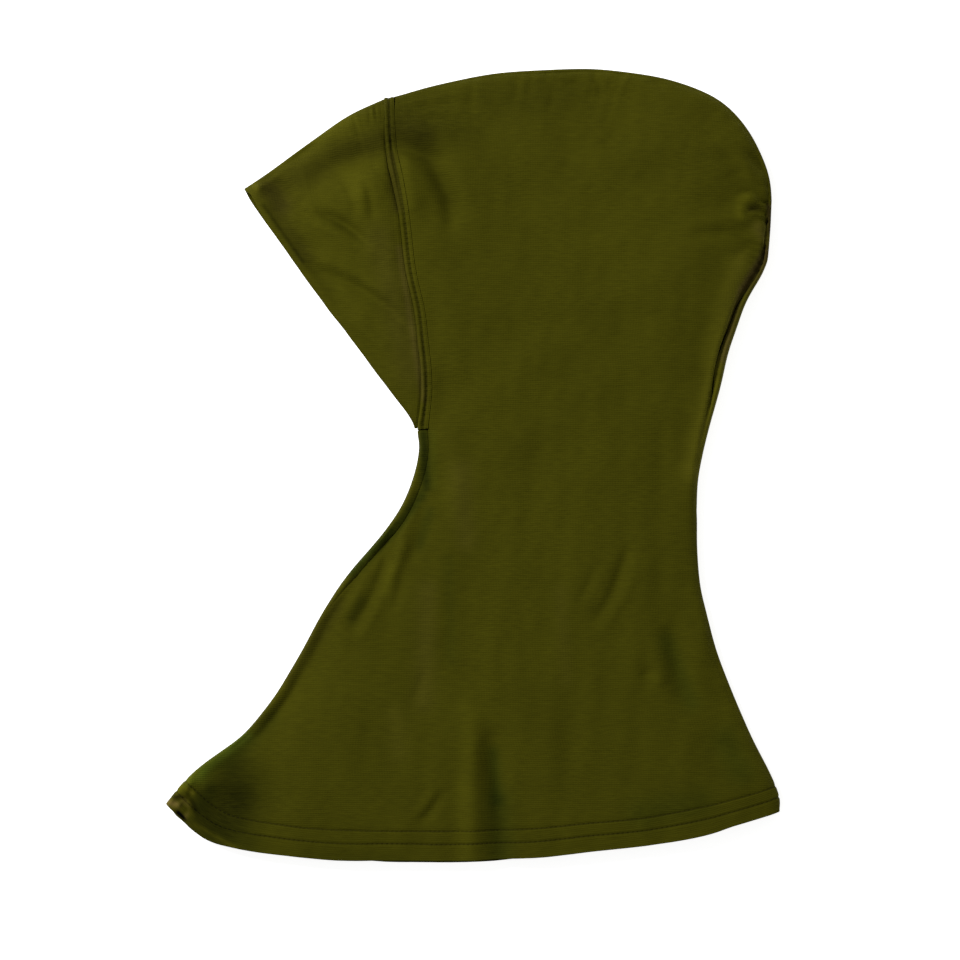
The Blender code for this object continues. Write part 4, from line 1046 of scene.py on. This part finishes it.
def stitch_template():
    """One short rounded stitch of thread, lying along X."""
    bpy.ops.object.select_all(action="DESELECT")
    bpy.ops.mesh.primitive_uv_sphere_add(segments=8, ring_count=6, radius=0.5)
    stitch = bpy.context.object
    bpy.ops.object.mode_set(mode="EDIT")
    bpy.ops.mesh.select_all(action="SELECT")
    bpy.ops.transform.rotate(value=math.pi / 2, orient_axis="Y", center_override=(0, 0, 0))
    bpy.ops.transform.resize(value=(STITCH_LENGTH, STITCH_WIDTH, STITCH_HEIGHT), center_override=(0, 0, 0))
    bpy.ops.mesh.faces_shade_smooth()
    bpy.ops.object.mode_set(mode="OBJECT")
    return stitch


def sew_row(name, line, run, ups, finish, template, slant=0.0):
    """A row of stitches joined into one piece, along a line of points with flat places and upward directions.

    Each stitch lies between two needle holes, which the cloth's finish puts at whole numbers of pitches.
    """
    pitches = np.arange(math.ceil(run[0] / STITCH_PITCH), int(run[-1] / STITCH_PITCH))
    centres = (pitches + 0.5) * STITCH_PITCH
    line = wandered(line)
    spots = at_places(run, line, centres)
    alongs = at_places(run, line, centres + STITCH_REACH) - at_places(run, line, centres - STITCH_REACH)
    tops = at_places(run, ups, centres)
    stitches = []
    for spot, along, top in zip(spots, alongs, tops):
        x_axis = Vector(along).normalized()
        z_axis = Vector(top).normalized()
        y_axis = z_axis.cross(x_axis).normalized()
        x_axis = (x_axis + y_axis * slant).normalized()
        y_axis = z_axis.cross(x_axis).normalized()
        z_axis = x_axis.cross(y_axis)
        turn = Matrix((x_axis, y_axis, z_axis)).transposed().to_4x4()
        place = Matrix.Translation(Vector(spot) + Vector((solid_low.x, solid_low.y, 0)))
        stitch = bpy.data.objects.new(name + "_stitch", template.data.copy())
        stitch.data.transform(place @ turn)
        bpy.context.scene.collection.objects.link(stitch)
        stitches.append(stitch)
    bpy.ops.object.select_all(action="DESELECT")
    for stitch in stitches:
        stitch.select_set(True)
    bpy.context.view_layer.objects.active = stitches[0]
    bpy.ops.object.join()
    row = bpy.context.object
    row.name = name
    row.data.materials.clear()
    row.data.materials.append(finish)
    keep_painted_shades(row.data)
    return row


def at_places(run, values, places):
    """Values given along a run, read at these places."""
    return np.stack([np.interp(places, run, values[:, k]) for k in range(values.shape[1])], axis=-1)


def make_stitches(finish):
    """Two rows round the hem and one up the brow seam."""
    template = stitch_template()
    rows = []
    grid, flat, upper = hem_surface(hem_heights() / length_of(front_edge))
    normals = grid_normals(grid, upper)
    for name, height in (("hem_stitches_upper", HEM_TOP_ROW), ("hem_stitches_lower", HEM_ROW_HEIGHT)):
        row = np.abs(flat[:, 0, 1] - height).argmin()
        line = grid[row] + normals[row] * STITCH_LIFT
        rows.append(sew_row(name, line, flat[row, :, 0], normals[row], finish, template))
    grid, flat, upper = brow_seam_surface()
    normals = grid_normals(grid, upper)
    column = int(round(BROW_ROW_INSET / SEAM_WIDTH * (SEAM_COLUMNS - 1)))
    line = grid[:, column] + normals[:, column] * STITCH_LIFT
    run, ups = flat[:, column, 1], normals[:, column]
    rows.append(sew_row("brow_stitches", line, run, ups, finish, template, BROW_STITCH_SLANT))
    bpy.data.objects.remove(template)
    return rows


# Finishes
OLIVE = (0.0520, 0.0494, 0.0022)
WARM = (0.085, 0.058, 0.018)  # the cloth where a mark makes it warmer
GREEN = (0.034, 0.052, 0.004)  # the cloth where a mark makes it greener
THREAD_OLIVE = (0.038, 0.035, 0.0030)
SHEEN_TINT = (0.60, 0.62, 0.03)
WALE = 0.00085
COURSE = 0.00110
PLY = 0.00028
SLANT = 0.6
BAND_SCALE = 0.314  # scale of a wave texture whose bands lie one unit apart
KNIT_RELIEF = 0.00024
THREAD_RELIEF = 0.00006
# how strongly the cloth's painted shade dims the thread
STITCH_FADE = 1.2


class Nodes:
    """A material's node tree with short ways to add and join nodes."""

    def __init__(self, name):
        self.material = bpy.data.materials.new(name)
        self.material.use_nodes = True
        self.tree = self.material.node_tree
        self.shader = self.tree.nodes["Principled BSDF"]

    def add(self, kind, inputs=(), **settings):
        node = self.tree.nodes.new("ShaderNode" + kind)
        for key, value in settings.items():
            setattr(node, key, value)
        for key, value in dict(inputs).items():
            if isinstance(value, bpy.types.NodeSocket):
                self.tree.links.new(value, node.inputs[key])
            else:
                node.inputs[key].default_value = value
        return node

    def maths(self, operation, first, second=0.0):
        node = self.add("Math", {0: first, 1: second}, operation=operation)
        return node.outputs[0]

    def total(self, *values):
        return functools.reduce(lambda first, second: self.maths("ADD", first, second), values)

    def product(self, *values):
        return functools.reduce(lambda first, second: self.maths("MULTIPLY", first, second), values)

    def attribute(self, name):
        return self.add("Attribute", attribute_name=name).outputs["Fac"]

    def join(self, output, socket):
        self.tree.links.new(output, self.shader.inputs[socket])

    def shaded(self, colour, shade):
        """Give the material this colour, made lighter or darker by shade."""
        inputs = {"Fac": 1.0, "Color1": colour, "Color2": shade}
        self.join(self.add("MixRGB", inputs, blend_type="MULTIPLY").outputs["Color"], "Base Color")

    def bumped(self, height, strength, distance):
        """Give the material's surface this small relief."""
        inputs = {"Height": height, "Strength": strength, "Distance": distance}
        self.join(self.add("Bump", inputs).outputs["Normal"], "Normal")

    def set(self, **inputs):
        """Set inputs of the shader, whose names are written with underscores for spaces."""
        for key, value in inputs.items():
            self.shader.inputs[key.replace("_", " ")].default_value = value


def needle_hole_shade(nodes, flat, along, rows, drift):
    """Painted shade of stitched rows: 1 away from the stitches and less in the needle holes and along each
    row, standing for the shade in the holes and the row's channel; the holes lie a pitch apart on each of
    these rows.

    along is the flat axis that the rows run along, and each row is its place on the other axis.
    """
    split = nodes.add("SeparateXYZ", {0: flat})
    runs, places = [split.outputs[axis] for axis in ((0, 1) if along == "X" else (1, 0))]
    phase = nodes.maths("PINGPONG", nodes.maths("DIVIDE", runs, STITCH_PITCH), 0.5)
    beside = nodes.maths("POWER", nodes.product(phase, STITCH_PITCH), 2.0)

    def spot(square):
        """1 in the middle of a hole or line, and less where the square of the distance is larger."""
        return nodes.maths("EXPONENT", nodes.maths("DIVIDE", square, -(HOLE_REACH**2)))

    darks = []
    for row in rows:
        aside = nodes.maths("SUBTRACT", places, row)
        square = nodes.product(aside, aside)
        hole = nodes.product(spot(nodes.total(beside, square)), HOLE_DARK)
        darks.append(nodes.total(hole, nodes.product(spot(square), LINE_DARK)))
    seen = nodes.add("MapRange", {"Value": drift, "From Min": 0.35, "From Max": 0.60, "To Min": 0.45})
    # The holes fade out where the cloth's painted shade is deep.
    darker = nodes.attribute("darker")
    hidden = nodes.add("MapRange", {"Value": darker, "From Min": 0.25, "From Max": 0.50}).outputs["Result"]
    shown = nodes.product(seen.outputs["Result"], nodes.maths("SUBTRACT", 1.0, hidden))
    return nodes.maths("SUBTRACT", 1.0, nodes.product(nodes.total(*darks), shown))


def jersey(name, colour, roughness, painted_brightness=1.0, along=None, rows=()):
    """Fine knit: wales and courses, faint streaks across and at a slant, fluff and soft random changes of
    colour.

    The painted shade and painted highlights that a piece keeps make it dimmer or lighter, warmer or greener,
    and painted_brightness makes the whole piece lighter or dimmer as painted light.
    """
    nodes = Nodes(name)
    flat = nodes.add("UVMap", uv_map="flat").outputs["UV"]
    place = nodes.add("TexCoord").outputs["Object"]

    def noise(vector, scale, detail, rough):
        inputs = {"Vector": vector, "Scale": scale, "Detail": detail, "Roughness": rough}
        return nodes.add("TexNoise", inputs).outputs["Fac"]

    def bands(pitch, direction, **inputs):
        settings = {"Vector": flat, "Scale": BAND_SCALE / pitch}
        settings.update({key.replace("_", " "): value for key, value in inputs.items()})
        return nodes.add("TexWave", settings, bands_direction=direction).outputs["Fac"]

    def varied(texture, depth):
        """This much from end to end of a texture's range, and 0 at its middle."""
        return nodes.product(nodes.maths("SUBTRACT", texture, 0.5), depth)

    drift = noise(place, 26.0, 3.0, 0.55)
    patches = noise(place, 34.0, 1.0, 0.5)
    level = nodes.add("Mapping", {"Vector": flat, "Scale": (0.22, 1.0, 1.0)}).outputs["Vector"]
    streaks = noise(level, 820.0, 3.0, 0.6)
    slant = nodes.add("Mapping", {"Vector": flat, "Rotation": (0, 0, SLANT), "Scale": (0.20, 1.0, 1.0)})
    slanted = noise(slant.outputs["Vector"], 620.0, 2.0, 0.6)
    fluff = noise(flat, 1500.0, 2.0, 0.7)
    wales = bands(WALE, "X", Distortion=1.0, Detail=1.0, Detail_Scale=2.0)
    courses = bands(COURSE, "Y", Distortion=2.4, Detail=2.0, Detail_Scale=1.2)
    patch_range = {"Value": patches, "From Min": 0.40, "From Max": 0.62, "To Min": 0.15}
    patchy = nodes.add("MapRange", patch_range).outputs["Result"]
    tone_sum = nodes.total(
        varied(drift, 0.36),
        nodes.product(varied(streaks, 0.62), patchy),
        nodes.product(varied(slanted, 0.44), nodes.maths("SUBTRACT", 1.15, patchy)),
        nodes.product(varied(courses, 0.08), patchy),
        varied(fluff, 0.18),
    )
    # The cloth's painted shade and painted highlights dim or lighten it here.
    shade = nodes.total(nodes.maths("SUBTRACT", tone_sum, nodes.attribute("darker")), 1.0)
    if rows:
        shade = nodes.product(shade, needle_hole_shade(nodes, flat, along, rows, drift))
    warmer = nodes.attribute("warmer")
    # Painted light: the whole colour of this piece made lighter or dimmer.
    olive = (*[c * painted_brightness for c in colour], 1)
    warmth = nodes.maths("MAXIMUM", warmer, 0.0)
    warm = nodes.add("MixRGB", {"Fac": warmth, "Color1": olive, "Color2": (*WARM, 1)})
    greener = nodes.maths("MAXIMUM", nodes.product(warmer, -1.0), 0.0)
    hue = nodes.add("MixRGB", {"Fac": greener, "Color1": warm.outputs["Color"], "Color2": (*GREEN, 1)})
    nodes.shaded(hue.outputs["Color"], shade)
    relief = nodes.total(
        nodes.product(wales, 0.5), courses, nodes.product(streaks, 1.5, patchy), nodes.product(fluff, 0.9)
    )
    nodes.bumped(relief, 0.45, KNIT_RELIEF)
    nodes.set(Roughness=roughness, Specular_IOR_Level=0.03)
    nodes.set(Sheen_Weight=0.05, Sheen_Roughness=0.45, Sheen_Tint=(*SHEEN_TINT, 1))
    return nodes.material


def thread(name, colour):
    """Spun thread: fine plies round each stitch, dimmed by the painted shade of the cloth it lies on."""
    nodes = Nodes(name)
    place = nodes.add("TexCoord").outputs["Object"]
    wave = {"Vector": place, "Scale": BAND_SCALE / PLY, "Distortion": 1.0}
    plies = nodes.add("TexWave", wave, bands_direction="DIAGONAL").outputs["Fac"]
    # The thread takes on the painted shade of the cloth.
    faded = nodes.product(nodes.attribute("darker"), STITCH_FADE)
    shade = nodes.maths("SUBTRACT", nodes.total(nodes.product(plies, 0.3), 0.8), faded)
    nodes.shaded((*colour, 1), shade)
    nodes.bumped(plies, 0.4, THREAD_RELIEF)
    nodes.set(Roughness=0.8, Specular_IOR_Level=0.05)
    return nodes.material


# The brow panel and seam get painted light and the hem painted shade, as lighter and dimmer copies of one
# cloth.
hood_cloth = jersey("hood_jersey_cloth", OLIVE, 0.88)
brow_cloth = jersey("brow_jersey_cloth", OLIVE, 0.86, 1.08)
seam_cloth = jersey("seam_jersey_cloth", OLIVE, 0.86, 1.05, "Y", (BROW_ROW_INSET,))
hem_cloth = jersey("hem_jersey_cloth", OLIVE, 0.88, 0.97, "X", (HEM_ROW_HEIGHT, HEM_TOP_ROW))
olive_thread = thread("olive_thread", THREAD_OLIVE)

hood_left, hood_right = make_sides(hood_cloth)
brow = make_brow_panel(brow_cloth)
seam_grid, seam_flat, _ = brow_seam_surface()
brow_seam = cloth_piece("seam", seam_grid, seam_flat, SEAM_CLOTH, seam_cloth, SHARP_RIM)
hem = make_hem(hem_cloth)
stitch_rows = make_stitches(olive_thread)

for piece, node, slot in (
    (hood_left, "left_side", "hood_jersey"),
    (hood_right, "right_side", "hood_jersey"),
    (brow, "brow_panel", "brow_jersey"),
    (brow_seam, "brow_seam", "stitched_jersey"),
    (hem, "hem_band", "stitched_jersey"),
):
    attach(piece, "root")
    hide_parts(node)
for row in stitch_rows:
    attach(row, "root")

# Floor, light and camera
PHOTO_SPAN = 0.5084  # what the picture's width covers at the height of the outline
VIEW_CENTRE = (0.0038, -0.0077)
LENS = 135.0
SENSOR = 36.0
FLOOR_SIZE = 40.0
FLOOR_DEPTH = 0.0002
FLOOR_TONE = 0.90
FLOOR_GLOW = 0.80
KEY_PLACE = (-1.24, 1.04, 1.62)
KEY_SIZE = 0.80
KEY_POWER = 49.5
WORLD_GLOW = 0.28


def make_floor():
    bpy.ops.object.select_all(action="DESELECT")
    bpy.ops.mesh.primitive_plane_add(size=FLOOR_SIZE, location=(0, 0, -FLOOR_DEPTH))
    floor = bpy.context.object
    floor.name = "floor"
    nodes = Nodes("pale_floor")
    nodes.set(Base_Color=(FLOOR_TONE, FLOOR_TONE, FLOOR_TONE, 1), Roughness=0.9, Specular_IOR_Level=0.1)
    nodes.set(Emission_Color=(1, 1, 1, 1), Emission_Strength=FLOOR_GLOW)
    floor.data.materials.append(nodes.material)


def make_light(name, place, size, power):
    data = bpy.data.lights.new(name, "AREA")
    data.shape = "DISK"
    data.size = size
    data.energy = power
    lamp = bpy.data.objects.new(name, data)
    lamp.location = place
    lamp.rotation_euler = (-Vector(place)).to_track_quat("-Z", "Y").to_euler()
    bpy.context.scene.collection.objects.link(lamp)


make_floor()
make_light("key", KEY_PLACE, KEY_SIZE, KEY_POWER)
world = bpy.data.worlds.new("studio")
world.use_nodes = True
world.node_tree.nodes["Background"].inputs["Color"].default_value = (1, 1, 1, 1)
world.node_tree.nodes["Background"].inputs["Strength"].default_value = WORLD_GLOW
bpy.context.scene.world = world
bpy.context.scene.view_settings.view_transform = "Standard"

camera_data = bpy.data.cameras.new("camera")
camera_data.lens = LENS
camera_data.sensor_width = SENSOR
camera = bpy.data.objects.new("camera", camera_data)
camera.location = (*VIEW_CENTRE, EDGE_HEIGHT + PHOTO_SPAN * LENS / SENSOR)
bpy.context.scene.collection.objects.link(camera)
bpy.context.scene.camera = camera
